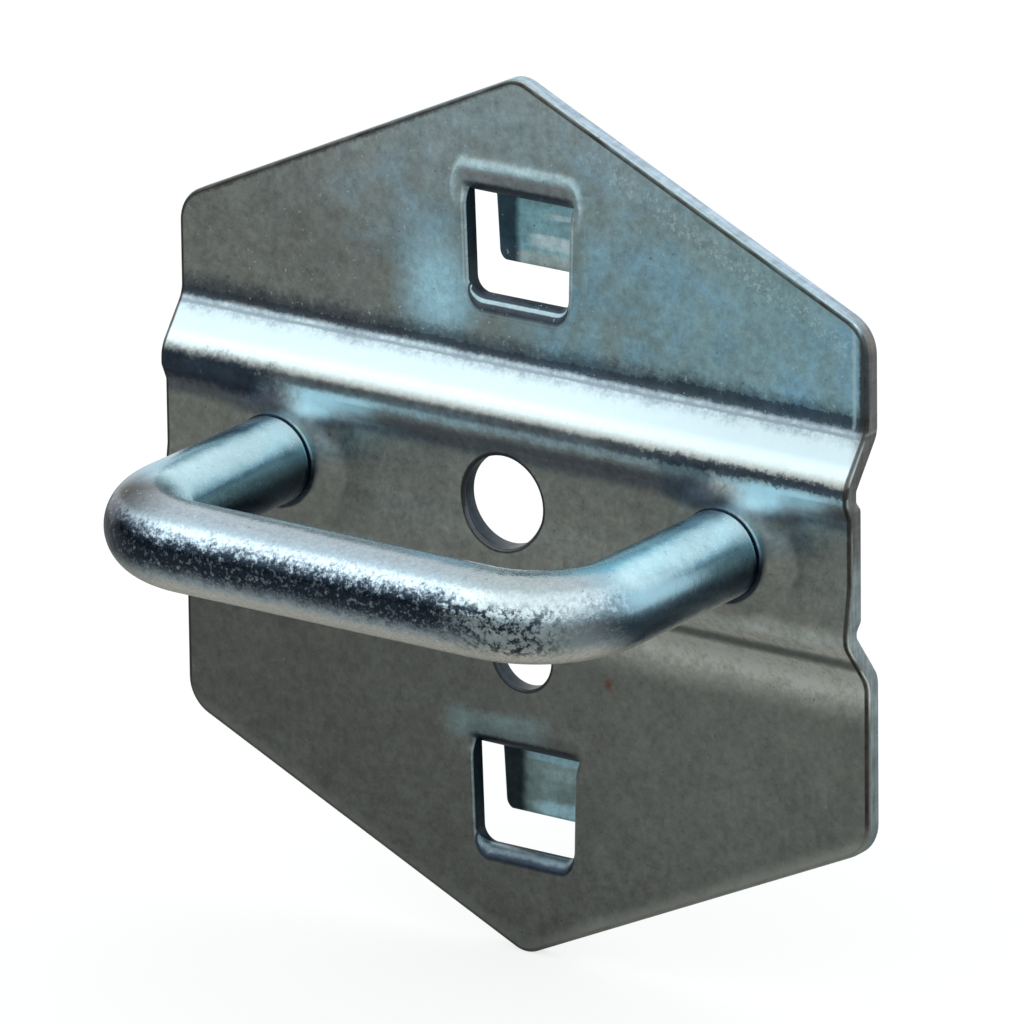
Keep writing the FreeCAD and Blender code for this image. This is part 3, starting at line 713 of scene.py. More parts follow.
def tab_row(sheet, shape, foot, columns, up, level, front):
    """One row of points across a tab; on the front they turn back round the tab's rolled edges."""
    sizes = shape.sizes
    top, tip = foot + sizes.window_height, foot + sizes.tab_short
    half = float(shape.tab_half_width(np.array(up), foot))
    levels = np.full(len(columns), level)
    worn = np.zeros(len(columns))
    if front:
        inset = np.minimum((1 - np.abs(columns)) * half, np.where(np.abs(columns) < 1, up - tip, 0.0))
        short = np.clip(sizes.tab_roll - inset, 0.0, None)
        fade = float(ease(np.array((top - up) / (1.6 * MM)))) * 0.999
        levels = levels + fade * (sizes.tab_roll - np.sqrt(sizes.tab_roll ** 2 - (0.999 * short) ** 2))
        # The rolled edges of the tab's front get a faint painted highlight, partly abrasion.
        worn = 0.5 * fade * ease(short / sizes.tab_roll)
    return sheet.add(level_row(columns * half, up), levels, worn)


def add_tab(sheet, shape, foot, columns, hinge, root, wall_corners):
    """A tab from its hinge in the window's upper edge, and its root on the back, down to its tip.

    Its front and back share the heights of their lower rows. wall_corners are the back's points
    beside the hinge, left and right.
    """
    sizes = shape.sizes
    tip = foot + sizes.tab_short
    front_line, back_line = tab_lines(shape, foot)
    lowest = min(front_line[-1][1], back_line[-1][1])
    hanging = np.concatenate([np.linspace(lowest - 0.05 * MM, tip + 1.4 * sizes.tab_round, 6),
                              tip + TIP_SHARES * sizes.tab_round])

    def rows(first, line, level, front):
        heights = [(up, depth) for depth, up in line] + [(up, level) for up in hanging]
        return [first] + [tab_row(sheet, shape, foot, columns, up, depth, front) for up, depth in heights]

    front_rows = rows(hinge, front_line, sizes.tab_space, True)
    back_rows = rows(root, back_line[1:], sizes.tab_space + sizes.thickness, False)
    for face in (front_rows, back_rows):
        for row, following in zip(face, face[1:]):
            sheet.strip(row, following, closed=False)
    sheet.strip(front_rows[-1], back_rows[-1], closed=False, cut=OPENING)
    count = len(hanging)
    for side, wall_corner in zip((0, -1), wall_corners):
        lower_front = [row[side] for row in front_rows[-count:]]
        lower_back = [row[side] for row in back_rows[-count:]]
        sheet.strip(lower_front, lower_back, closed=False, cut=OPENING)
        upper = [row[side] for row in front_rows[:-count + 1]]
        rim = upper[::-1] + [wall_corner] + [row[side] for row in back_rows[:-count + 1]]
        flat = [Vector((sheet.points[number][1], sheet.points[number][2], 0.0)) / MM for number in rim]
        for triangle in tessellate_polygon([flat]):
            sheet.face([rim[corner] for corner in triangle], cut=OPENING)


def add_window(sheet, shape, foot):
    """A window with its lanced tab; returns the rings that border the front and the back."""
    sizes = shape.sizes
    columns = tab_columns(sizes, shape.half_top)
    points, directions, sides = window_loop(shape, foot, columns)
    from_corner = foot + sizes.window_height - points[:sides, 1]
    shares = np.concatenate([0.25 + 0.75 * ease(from_corner / (1.2 * MM)), np.zeros(len(points) - sides)])

    # The foot's roll is wider, but only downwards, and deeper.
    downward = np.clip(-directions[:, 1:], 0.0, 1.0)
    widths = 1.0 + np.array([0.0, 1.0]) * (sizes.foot_roll / sizes.window_roll - 1.0) * (downward > 0)
    deepest = 0.75 * sizes.thickness / sizes.window_roll
    shares = shares + (deepest - 1.0) * downward[:, 0] ** 2
    # The window's rounding gets a painted highlight at its middle, partly abrasion, and a faint dark line
    # towards the face.
    rows = rolled_rim(sheet, (points, directions), 1, sizes.window_roll, 1, shape.front, shape.sheen_and_wear, 8,
                      shares, widths, rubbed_and_lit=1.0, soiled=0.3)
    rim = rows[0]
    hinge = np.concatenate([rim[:1], rim[:sides - 1:-1], rim[sides - 1:sides]])

    # The back has the same three walls, and a notch up to the tab's root.
    back_wall = sheet.add(points[:sides], shape.back(points[:sides]))
    sheet.strip(rim[:sides], back_wall, closed=False, cut=OPENING)
    root_height = tab_lines(shape, foot)[1][0][1]
    root = sheet.add(level_row(columns * shape.half_top, root_height), 0.0)
    add_tab(sheet, shape, foot, columns, hinge, root, (back_wall[0], back_wall[-1]))
    return rows[-1], np.concatenate([back_wall, root[::-1]])


def loose_places(shape, stops, inner, outer):
    """Rows along the bends, an even grid elsewhere and rings round the legs."""
    half, point = shape.sizes.width / 2, shape.sizes.point_height / 2
    ups = list(stops)
    for start, end in zip([-point] + ups, ups + [point]):
        pieces = max(1, round((end - start) / GRID_STEP))
        ups += [start + (end - start) * piece / pieces for piece in range(1, pieces)]
    grid = staggered_grid(np.arange(-half, half, GRID_STEP), sorted(ups))
    rings = []
    for leg in shape.legs:
        grid = grid[np.hypot(grid[:, 0] - leg[0], grid[:, 1] - leg[1]) > outer + RING_MARGIN]
        for number, radius in enumerate(np.linspace(inner, outer, RINGS_ROUND_LEG)):
            rings.append(circle_loop(leg, radius, RING_POINTS, number % 2 / 2)[0])
    return np.concatenate([grid] + rings)


def plate_mesh(sizes, bar):
    """The whole plate as one closed mesh."""
    shape = PlateShape(sizes, bar)
    sheet = SheetMesh()
    front_stops, back_stops = shape.stops(shape.front_line), shape.stops(shape.back_line)
    steps = np.arange(-sizes.point_height / 2, sizes.point_height / 2, GRID_STEP)
    band = (front_stops[0] - BAND_MARGIN, front_stops[-1] + BAND_MARGIN)
    edge_stops = spread(front_stops + back_stops + [up for up in steps if not band[0] < up < band[1]])
    outline = shape.outline(edge_stops)
    front = rolled_rim(sheet, outline, -1, sizes.edge_roll, 1, shape.front, shape.sheen_and_wear, soiled=1.0)
    back = rolled_rim(sheet, outline, -1, sizes.burr_round, -1, shape.back, no_wear, steps=2)
    sheet.strip(front[0], back[0], cut=BLANK_EDGE)
    holes = [(shape.centre_hole, sizes.centre_hole, sizes.hole_roll, CENTRE_HOLE_POINTS),
             (shape.screw_hole, sizes.screw_hole, sizes.hole_roll, RING_POINTS)]
    holes += [(leg, sizes.spigot_hole, sizes.burr_round, RING_POINTS) for leg in shape.legs]
    borders = [(front[-1], back[-1])] + [add_round_hole(sheet, shape, *hole) for hole in holes]
    borders += [add_window(sheet, shape, foot) for foot in shape.feet]
    front_rings, back_rings = zip(*borders)

    # The front is finer round the windows' folds.
    spigot = sizes.spigot_hole / 2
    loose = loose_places(shape, front_stops, spigot + 0.5 * MM, sizes.collar_foot + RING_MARGIN)
    reach = FOLD_REACHES * shape.fold_reach
    fine = []
    for foot in shape.feet:
        loose = loose[shape.from_window_top(loose, foot) > reach]
        top = foot + sizes.window_height
        patch = staggered_grid(np.arange(-shape.half_top - reach, shape.half_top + reach, FOLD_STEP),
                               np.arange(top - reach, top + reach, FOLD_ROW_STEP))
        fine.append(patch[shape.from_window_top(patch, foot) < reach])
    sheet.fill(front_rings, np.concatenate([loose] + fine), shape.front, shape.sheen_and_wear)
    behind = loose_places(shape, back_stops, spigot + 0.4 * MM, sizes.dimple_foot + RING_MARGIN)
    sheet.fill(back_rings, behind, shape.back, no_wear)
    return sheet.to_mesh("hook_plate")


# ---------------------------------------------------------------------------
# Nodes
# ---------------------------------------------------------------------------

class Value:
    """A node's output that is written in arithmetic: each operator adds one Math node."""

    def __init__(self, nodes, socket):
        self.nodes, self.socket = nodes, socket

    def math(self, operation, *operands):
        return self.nodes.add("ShaderNodeMath", {"operation": operation}, dict(enumerate(operands)))

    def __add__(self, other):
        return self.math("ADD", self, other)

    def __sub__(self, other):
        return self.math("SUBTRACT", self, other)

    def __mul__(self, other):
        return self.math("MULTIPLY", self, other)

    def __truediv__(self, other):
        return self.math("DIVIDE", self, other)

    def __pow__(self, other):
        return self.math("POWER", self, other)

    def __gt__(self, other):
        return self.math("GREATER_THAN", self, other)

    def __lt__(self, other):
        return self.math("LESS_THAN", self, other)

    def __neg__(self):
        return self.math("MULTIPLY", self, -1.0)

    def __abs__(self):
        return self.math("ABSOLUTE", self)

    def __rsub__(self, other):
        return self.math("SUBTRACT", other, self)

    def __rtruediv__(self, other):
        return self.math("DIVIDE", other, self)

    __radd__, __rmul__ = __add__, __mul__

    def sign(self):
        return self.math("SIGN", self)

    def wrapped(self, step):
        """The rest that remains of this value when whole steps are taken off."""
        return self.math("FLOORED_MODULO", self, step)

    def most(self, other):
        return self.math("MAXIMUM", self, other)

    def least(self, other):
        return self.math("MINIMUM", self, other)

    def between(self, low, high):
        """Smooth step of this value from 0 at low to 1 at high."""
        return self.nodes.add("ShaderNodeMapRange", {"interpolation_type": "SMOOTHSTEP"},
                              {"Value": self, "From Min": low, "From Max": high})

    def falling(self, low, high):
        """Smooth step of this value from 1 at low to 0 at high."""
        return 1.0 - self.between(low, high)

    def within(self, low, high, soft):
        """1 from low to high, falling to 0 over a soft width on either side."""
        return self.between(low - soft, low) * self.falling(high, high + soft)


class Nodes:
    """Adds nodes to one tree."""

    def __init__(self, tree):
        self.tree = tree

    def add(self, kind, settings=None, inputs=None, output=0):
        """Adds a node: its settings first, then its sockets' values or links, of which a list makes several."""
        node = self.tree.nodes.new(kind)
        for key, value in (settings or {}).items():
            setattr(node, key, value)
        for key, value in (inputs or {}).items():
            socket = node.inputs[key]
            sources = value if isinstance(value, list) else [value]
            if isinstance(sources[0], Value):
                for source in sources:
                    self.tree.links.new(source.socket, socket)
            else:
                is_colour = socket.type == "RGBA" and len(value) == 3
                socket.default_value = tuple(value) + (1.0,) if is_colour else value
        return Value(self, node.outputs[output]) if len(node.outputs) else None

    def outputs(self, value):
        """All the outputs of the node that a value comes from, by name."""
        return {socket.name: Value(self, socket) for socket in value.socket.node.outputs}

    def axes(self, place):
        """A place or direction as its three parts."""
        parts = self.outputs(self.add("ShaderNodeSeparateXYZ", {}, {0: place}))
        return parts["X"], parts["Y"], parts["Z"]

    def blend(self, factor, first, second):
        return self.add("ShaderNodeMix", {"data_type": "RGBA", "blend_type": "MIX", "clamp_factor": True},
                        {0: factor, 6: first, 7: second}, output=2)

    def painted(self, tone, *coats):
        """A tone under coats, of which each is a (zone, tint) pair and the last lies on top."""
        for zone, tint in coats:
            tone = self.blend(zone, tone, tint)
        return tone

    def scaled(self, tone, brightness):
        return self.add("ShaderNodeVectorMath", {"operation": "SCALE"}, {0: tone, "Scale": brightness})

    def noise(self, place, scale, detail=2.0, roughness=0.5, distortion=0.0):
        return self.add("ShaderNodeTexNoise", {"noise_dimensions": "3D"},
                        {"Vector": place, "Scale": scale, "Detail": detail, "Roughness": roughness,
                         "Distortion": distortion})

    def waver(self, *noise):
        """Noise about 0, from -0.5 to 0.5."""
        return self.noise(*noise) - 0.5


def empty_material(name):
    material = bpy.data.materials.new(name)
    material.use_nodes = True
    material.node_tree.nodes.clear()
    return material, Nodes(material.node_tree)


def attribute(nodes, name):
    return nodes.add("ShaderNodeAttribute", {"attribute_type": "GEOMETRY", "attribute_name": name},
                     output="Fac")


def object_places(nodes, stretch=(1.0, 1.0, 1.0)):
    """Object coordinates in millimetres, stretched along the axes."""
    place = nodes.add("ShaderNodeTexCoord", output="Object")
    return nodes.add("ShaderNodeMapping", {},
                     {"Vector": place, "Scale": tuple(value / MM for value in stretch)})


def distance(first, second):
    """Length of the slanting side whose two square parts are given, in millimetres."""
    return (first ** 2.0 + second ** 2.0) ** 0.5


def dimmed(tint, brightness):
    """A plain colour, made darker or lighter."""
    return tuple(value * brightness for value in tint)


def make_surface(nodes, tone, metallic, roughness, height):
    """Gives the material its metal, with a skin whose height is in millimetres."""
    normal = nodes.add("ShaderNodeBump", {}, {"Strength": 1.0, "Distance": MM, "Height": height})
    link_surface(nodes, nodes.add("ShaderNodeBsdfPrincipled", {}, {
        "Base Color": tone, "Metallic": metallic, "Roughness": roughness, "Normal": normal}))


class PlateZinc:
    """Zinc-plated sheet: blue and brown passivation, painted shade and dark reflections in the bends, ridges
    with abrasion and painted highlights, sheared walls.

    Places are in millimetres. A zone is 1 inside and 0 outside, and a coat is a zone with its colour.
    """

    def __init__(self, finish, sizes, bar):
        self.finish, self.sizes = finish, sizes
        self.material, self.nodes = empty_material("plate_zinc")
        nodes = self.nodes
        self.place = place = object_places(nodes)
        self.across, self.depth, self.up = nodes.axes(place)
        self.cloud = nodes.waver(place, 0.07, 3.0, 0.55, 0.4)
        self.patch = nodes.waver(place, 0.22, 4.0, 0.62, 0.6)
        self.mottle = nodes.waver(place, 0.5, 4.0, 0.65)
        self.grain = nodes.waver(place, 2.1, 3.0, 0.7)
        self.speck = nodes.noise(place, 2.4, 2.0, 0.8)
        self.ragged = self.mottle * 1.1 + (self.speck - 0.5) * 1.3
        self.worn, self.cut, self.soiled, rolled = (
            attribute(nodes, name) for name in ("worn", "cut", "soiled", "rolled"))
        self.rolled = (rolled + self.ragged * 0.03) * (1.0 - self.cut)

        # Heights of the two ridges and of the upper root, and the rise above the nearest window's foot.
        self.upper = (sizes.band_level + sizes.band_flat / 2) / MM
        self.lower = (sizes.band_level - sizes.band_flat / 2) / MM
        self.flank = sizes.band_rise / math.tan(sizes.band_angle) / MM
        self.root = self.upper + self.flank
        self.window_top = sizes.window_height / MM
        self.half_window = sizes.window_width / 2 / MM
        pitch = sizes.hole_pitch / MM
        foot = (pitch - self.window_top) / 2 - sizes.window_drop / MM
        self.rise = (self.up - (foot - 1.0)).wrapped(pitch) - 1.0
        self.over_leg = self.up - (sizes.band_level - sizes.axis_drop) / MM
        self.set_zones()
        self.set_leg_zones(bar.leg_pitch / 2 / MM)
        self.set_shade()
        self.set_tab_zones()

    def set_zones(self):
        """Zones that more than one method uses."""
        across, up, cloud, ragged = self.across, self.up, self.cloud, self.ragged
        upper, lower, root = self.upper, self.lower, self.root
        self.above = up.between(upper + 1.0, root + 1.5)
        self.below = (up + cloud * 4.0).falling(lower - self.flank, lower + 1.5)
        self.on_front = self.depth < -0.75 * self.sizes.thickness / MM
        self.between_sides = abs(across).falling(self.half_window - 0.55, self.half_window + 0.55)
        self.on_flank = up.between(upper - 0.1, upper + 1.1)
        self.on_flank = self.on_flank * (up + ragged * 0.1).falling(root - 0.15, root + 0.15)
        # Where a painted reflection lies: two stripes on the lower flank and over the lower ridge.
        under_stripe = (up + cloud).between(lower - 6.4, lower - 3.4) * up.falling(lower - 2.3, lower - 1.7)
        over_stripe = up.between(lower - 1.5, lower - 0.9) * (up + self.patch).falling(lower - 0.2, lower + 1.6)
        self.on_lower_flank = (under_stripe * across.between(-8.0, 12.0)).most(
            over_stripe * across.between(2.0, 16.0) * 0.9)
        # A painted highlight on the upper flange, beside the upper window.
        from_glow = distance(across + 6.3, (up - 15.0) * 0.8) + self.mottle * 3.0
        self.glow = from_glow.falling(0.2, 4.6)
        # The ridges and the fold lips: abrasion with its painted highlight, cloudy.
        self.rubbed_and_lit = (self.worn * (0.85 + self.mottle + self.grain * 0.6)).least(1.0)

    def set_leg_zones(self, half_pitch):
        """Painted light round each leg: a highlight on the mound that tapers above and to its right, shade
        under it and beside the collar, a highlight on the collar's rim and shade round the leg's end.
        """
        across, over, mottle, ragged = self.across, self.over_leg, self.mottle, self.ragged
        beside = across - across.sign() * half_pitch
        tapering = over - (beside - 1.0).most(0.0) * 0.12 + mottle * 0.5
        mound = tapering.between(2.4, 3.7) * (over + ragged * 0.2).falling(4.8, 5.4)
        self.mound = mound * (beside + mottle).within(2.6, 6.4, 2.6) * (1.0 - self.patch.most(0.0) * 1.2)
        hollow = tapering.within(0.8, 2.4, 1.1) * (beside + ragged * 0.5).within(3.2, 5.0, 2.0)
        before = beside.within(-4.5, -1.6, 1.2) * over.within(3.0, 5.2, 0.6) * across.between(0.0, 1.0)
        self.hollow = (hollow * 0.5).most(before * 0.6)
        from_leg = distance(beside, over) + mottle * 0.06
        self.collar_rim = from_leg.within(3.14, 3.24, 0.07) * beside.between(0.0, 2.5)
        crescent = from_leg.within(3.0, 3.25, 0.2) * (beside - over).between(2.2, 3.8)
        self.at_collar = from_leg.within(2.0, 3.05, 0.07).most(crescent)
        self.clean = self.on_flank.most(self.mound)

    def set_shade(self):
        """Painted shade and dark reflections, ragged along their borders: in the upper bends and folds, left of
        the left leg, round the legs' ends and round the holes.
        """
        across, up, ragged = self.across, self.up, self.ragged
        upper, root, fold = self.upper, self.root, self.window_top
        rightward = across.between(4.0, 16.0)
        in_root = (up + ragged * 0.6).within(root + 0.1, root + 0.45 + rightward * 0.3, 0.3) * 0.9
        in_root = in_root.most((up + ragged).within(root + 0.1, root + 0.6, 1.3) * 0.7)
        in_root = in_root.most((up + ragged * 0.2).within(root - 0.50, root - 0.42, 0.1) * 0.6)
        on_ridge = (up + ragged * (0.25 + rightward * 0.45)).within(upper - 0.50, upper - 0.15, 0.34)
        on_ridge = on_ridge * (0.66 + rightward * 0.25)
        left_band = (up + ragged * 0.7).within(upper - 1.6, upper - 0.3, 0.9)
        left_band = left_band * (across + ragged * 2.0).falling(-19.8, -15.0)
        at_fold = (self.rise + ragged * 0.15).within(fold - 0.9, fold + 0.4, 0.35) * self.between_sides
        shade = in_root.most(on_ridge).most(left_band).most(at_fold * 0.9).most(self.at_collar)
        screw_hole = self.lower - self.flank - self.sizes.screw_hole_margin / MM
        for height, ring in ((self.over_leg, 3.30), (up - screw_hole, 2.40)):
            shade = shade.most((distance(across, height) + ragged * 0.05).falling(ring, ring + 0.12) * 0.85)
        self.shade = shade

    def set_tab_zones(self):
        """The tabs, seen through their windows, with streaks of painted reflection, the broad pale bands of
        painted highlight that cross them and a painted highlight towards the upper tip.
        """
        across, above, below = self.across, self.above, self.below
        self.on_tab = self.depth.between(0.8, 1.6)
        self.streaks = self.nodes.waver(object_places(self.nodes, (0.12, 1.0, 0.8)), 0.7, 3.0, 0.6)
        wavy = self.rise + self.streaks * 1.2
        high = wavy.within(5.0 + below * 0.5, 5.25 + below * 0.9, 0.2)
        high = high * (across + below * 2.0).between(-0.5, 1.0)
        low = wavy.within(3.1 - below * 1.3, 3.4 - below, 0.45) * (across + self.ragged).between(-2.0, -0.5)
        self.tab_bands = low.most(high)
        self.tab_tip = wavy.within(1.4, 2.4, 0.4) * above * 0.7

    def flange_tone(self):
        """Blue and teal towards the upper right, paler at the top, grey-brown elsewhere, with painted light and
        shade: brightest across the band, darker on the lower flange.
        """
        nodes, finish, across, up, cloud = self.nodes, self.finish, self.across, self.up, self.cloud
        above, below = self.above, self.below
        coolness = across / 36.0 + 0.50 + cloud * 1.4 + self.patch * 1.2
        blued = nodes.blend((self.patch + cloud).between(-0.10, 0.22), finish.teal, finish.cool)
        tone = nodes.painted(finish.warm, (coolness.between(0.1, 0.95) * above, blued),
                             ((up + cloud * 12.0).between(17.0, 29.0) * 0.65, finish.pale))
        # Painted shade: the lower flange is darkened, most towards its left.
        lower_shade = below * (0.40 - across.between(-26.0, 22.0) * 0.38)
        return nodes.scaled(tone, 1.16 - above * 0.16 - below * 0.12 - lower_shade)

    def band_coats(self):
        """Painted highlights: the glow beside the upper window and the paler upper flank, partly darkened by a
        painted reflection; a painted reflection on and under the lower flank; and the ridges' abrasion with its
        painted highlight.
        """
        finish, nodes = self.finish, self.nodes
        mirroring = self.up.within(self.upper + 1.5, self.root - 0.8, 0.9) * 0.25
        flank_tone = nodes.scaled(finish.flank, 1.0 - mirroring - self.across.between(0.0, 22.0) * 0.12)
        return [(self.glow, finish.glint), (self.on_flank, flank_tone), (self.on_lower_flank, finish.low_slope),
                (self.rubbed_and_lit, nodes.blend(self.above, finish.bright, finish.leg_gleam))]

    def window_coats(self):
        """Painted light round the windows: a grey-pink reflection over the upper tab, a teal reflection over
        the lower one, highlight lines down the sides, and dark reflections in the rolled feet with highlight
        lines along them.
        """
        finish, sizes, across, rise, rolled = self.finish, self.sizes, self.across, self.rise, self.rolled
        above, below, fold = self.above, self.below, self.window_top
        over_window = rise.within(fold + 0.7, fold + 1.2, 0.5) * self.between_sides
        # Painted reflection over the lower window's fold.
        haze = (rise + self.cloud * 2.0).within(fold + 0.9, fold + 2.0, 1.0) * below
        haze = haze * (across + self.mottle * 2.0).within(-4.6, 0.5, 2.4)
        flare, corner = sizes.window_flare / MM, sizes.window_round / MM
        half = self.half_window - flare + rise * (flare / fold)
        outside = distance((abs(across) - half + corner).most(0.0), (corner - rise).most(0.0)) - corner
        beside = outside.within(0.18, 0.30, 0.08) * rise.within(0.6, fold - 0.15, 0.5)
        beside = beside * self.on_front * (1.0 - self.cut)
        foot_line = rolled.within(0.64, 0.77, 0.06) + rolled.within(0.03, 0.06, 0.02) * 0.5
        low_foot_line = (rolled + self.ragged * 0.2).between(0.5, 0.8) * 0.30
        return [(over_window * above * 0.8, finish.fold), (haze * 0.5, finish.teal),
                (beside * above * 0.6, finish.gleam), (rolled.between(0.02, 0.30) * 0.93, finish.deep),
                (foot_line * above + low_foot_line * below, finish.leg_gleam)]

    def bend_coats(self):
        """Painted shade in the hollows by the collars, painted highlights on the mounds above the legs and on
        the collars' rims, painted shade under the upper ridge and faintly under the lower, and the shade of the
        bends.
        """
        finish, up, ragged, upper, lower = self.finish, self.up, self.ragged, self.upper, self.lower
        under_ridge = (up + ragged * 0.4).within(upper - 2.6, upper - 1.9, 0.8) * (1.0 - self.mound) * 0.62
        lower_line = (up + ragged * 0.1).within(lower - 1.95, lower - 1.40, 0.4)
        lower_line = lower_line * self.across.between(2.0, 12.0) * 0.10
        return [(self.hollow, dimmed(finish.cool, 0.28)), (self.mound, finish.glint),
                (self.collar_rim * 0.6, finish.gleam), (under_ridge.most(lower_line), dimmed(finish.deep, 1.8)),
                (self.shade * 0.93, finish.deep)]

    def tab_tone(self):
        """The tabs: bluer at the upper window, with painted reflections in streaks, painted highlights in their
        bands and towards the upper tip, and painted shadow along both sides.
        """
        nodes, finish, below = self.nodes, self.finish, self.below
        tone = nodes.scaled(nodes.blend(below * 0.7, finish.tab, finish.low_tab), 1.0 + self.streaks * 1.6)
        beside = (self.across + self.mottle * 0.6).within(-1.9, 3.7, 0.7)
        return nodes.painted(tone, (self.tab_tip, finish.tab_tip),
                             (self.tab_bands * 0.95, nodes.blend(below, finish.gleam, finish.glint)),
                             ((1.0 - beside) * 0.9, finish.deep))

    def mark_coats(self):
        """Specks, stains and a rust spot, a painted highlight inside the right edge, a pale band inside the
        lower edges and dark lines along the edges.
        """
        finish, sizes, across, up = self.finish, self.sizes, self.across, self.up
        ragged, speck, above = self.ragged, self.speck, self.above
        unclean = 1.0 - self.clean

        # Distances outside the slanting edges, whose square direction is lean, and outside the sides.
        side = sizes.width / 2 / MM
        corner = sizes.side_height / 2 / MM
        lean_across, lean_up = 0.42, 0.907
        leaning = abs(across) * lean_across - (side * lean_across + corner * lean_up)
        past_upper, past_lower = leaning + up * lean_up, leaning - up * lean_up
        trail = (past_upper + ragged * 0.6).within(-2.0, -1.2, 0.6) * across.between(3.0, 7.0)
        from_rust = distance(across - 6.9, up + 10.0) + self.grain * 0.6
        # A painted highlight inside the right edge.
        side_line = (across + ragged * 0.15).within(side - 1.05, side - 0.90, 0.12) * above
        low_rim = (past_lower + ragged * 0.2).between(-1.3, -0.3) * (0.12 + across.between(-1.0, 5.0) * 0.28)
        by_edge = (past_upper + ragged * 0.35).between(-0.55, -0.25) * across.falling(-2.0, 2.0) * 0.8
        by_side = (across + ragged * 0.2).between(side - 0.75, side - 0.45) * above
        # Dark lines along the rolled edges, fainter along the lower ones.
        low_edge = up.falling(0.8 - corner, 2.2 - corner)
        edge_darkening = self.soiled * (0.9 - low_edge * (0.45 + across.between(-2.0, 4.0) * 0.3) + self.mottle * 0.7)
        edge_darkening = edge_darkening.most(by_edge.most(by_side) * self.on_front * 0.9)
        return [(speck.between(0.52, 0.62) * trail * 0.6, finish.gleam),
                (speck.between(0.66, 0.74) * (0.15 + above * 0.45) * unclean, finish.gleam),
                ((1.0 - speck).between(0.66, 0.78) * 0.6 * unclean, finish.stain),
                (from_rust.falling(0.1, 0.6) * 0.7, finish.rust),
                (side_line * 0.6 * unclean, finish.gleam),
                (low_rim * (1.0 - self.cut), finish.low_slope),
                (edge_darkening.least(1.0), finish.stain)]

    def wall_tone(self):
        """The cut walls: dark where they are punched, and paler along the blank's own edge; the upper edges'
        walls are lighter still, as painted light.
        """
        nodes, finish, up = self.nodes, self.finish, self.up
        edge_tone = nodes.painted(finish.sheared_low, (up.between(1.0, 4.0), finish.sheared),
                                  (up.between(17.0, 19.0), finish.sheared_top))
        return nodes.blend(self.cut > 0.7, finish.punched, edge_tone)

    def make(self):
        """Builds and returns the material."""
        nodes, cut, mottle, grain, clean = self.nodes, self.cut, self.mottle, self.grain, self.clean
        on_wall = cut > 0.2
        drag = nodes.noise(object_places(nodes, (1.0, 0.2, 1.0)), 2.0, 3.0, 0.6)
        scored = nodes.waver(object_places(nodes, (0.15, 1.0, 0.15)), 3.0, 2.0, 0.6)
        tone = nodes.painted(self.flange_tone(), *self.band_coats(), *self.window_coats(), *self.bend_coats(),
                             (self.on_tab, self.tab_tone()))
        tone = nodes.scaled(tone, 1.0 + (mottle * 0.5 + grain * 0.9) * (1.0 - clean * 0.75))
        tone = nodes.painted(tone, *self.mark_coats(), (on_wall, self.wall_tone()))
        tone = nodes.scaled(tone, 1.0 + on_wall * ((drag - 0.5) * 0.7 + scored * 1.2))

        rough = self.finish.plate_roughness + self.above * 0.14 + self.on_lower_flank * 0.20
        rough = rough - self.on_flank * 0.10 + self.worn * 0.08 + mottle * 0.16 + grain * 0.14 + cut * 0.04
        bead = (self.up - (self.root - 0.3) + mottle * 0.1) / 0.16
        bead = 1.0 / (1.0 + bead * bead)
        skin = nodes.noise(self.place, 0.9, 2.0, 0.5) * 0.008 + (mottle + 0.5) * 0.006
        skin = skin + nodes.noise(self.place, 5.0, 2.0, 0.6) * 0.002 + self.speck * (0.004 + self.shade * 0.010)
        height = skin * (1.0 - clean * 0.6) + cut * drag * 0.01 + bead * 0.030
        # Metallic drops where highlights are painted, so that they take in more light.
        matt = (self.mound * 0.85).most(self.rubbed_and_lit * self.above * 0.9).most(self.glow * 0.4)
        matt = matt.most(self.on_tab * self.tab_bands * 0.75)
        make_surface(nodes, tone, 1.0 - matt, rough.least(0.9), height)
        return self.material


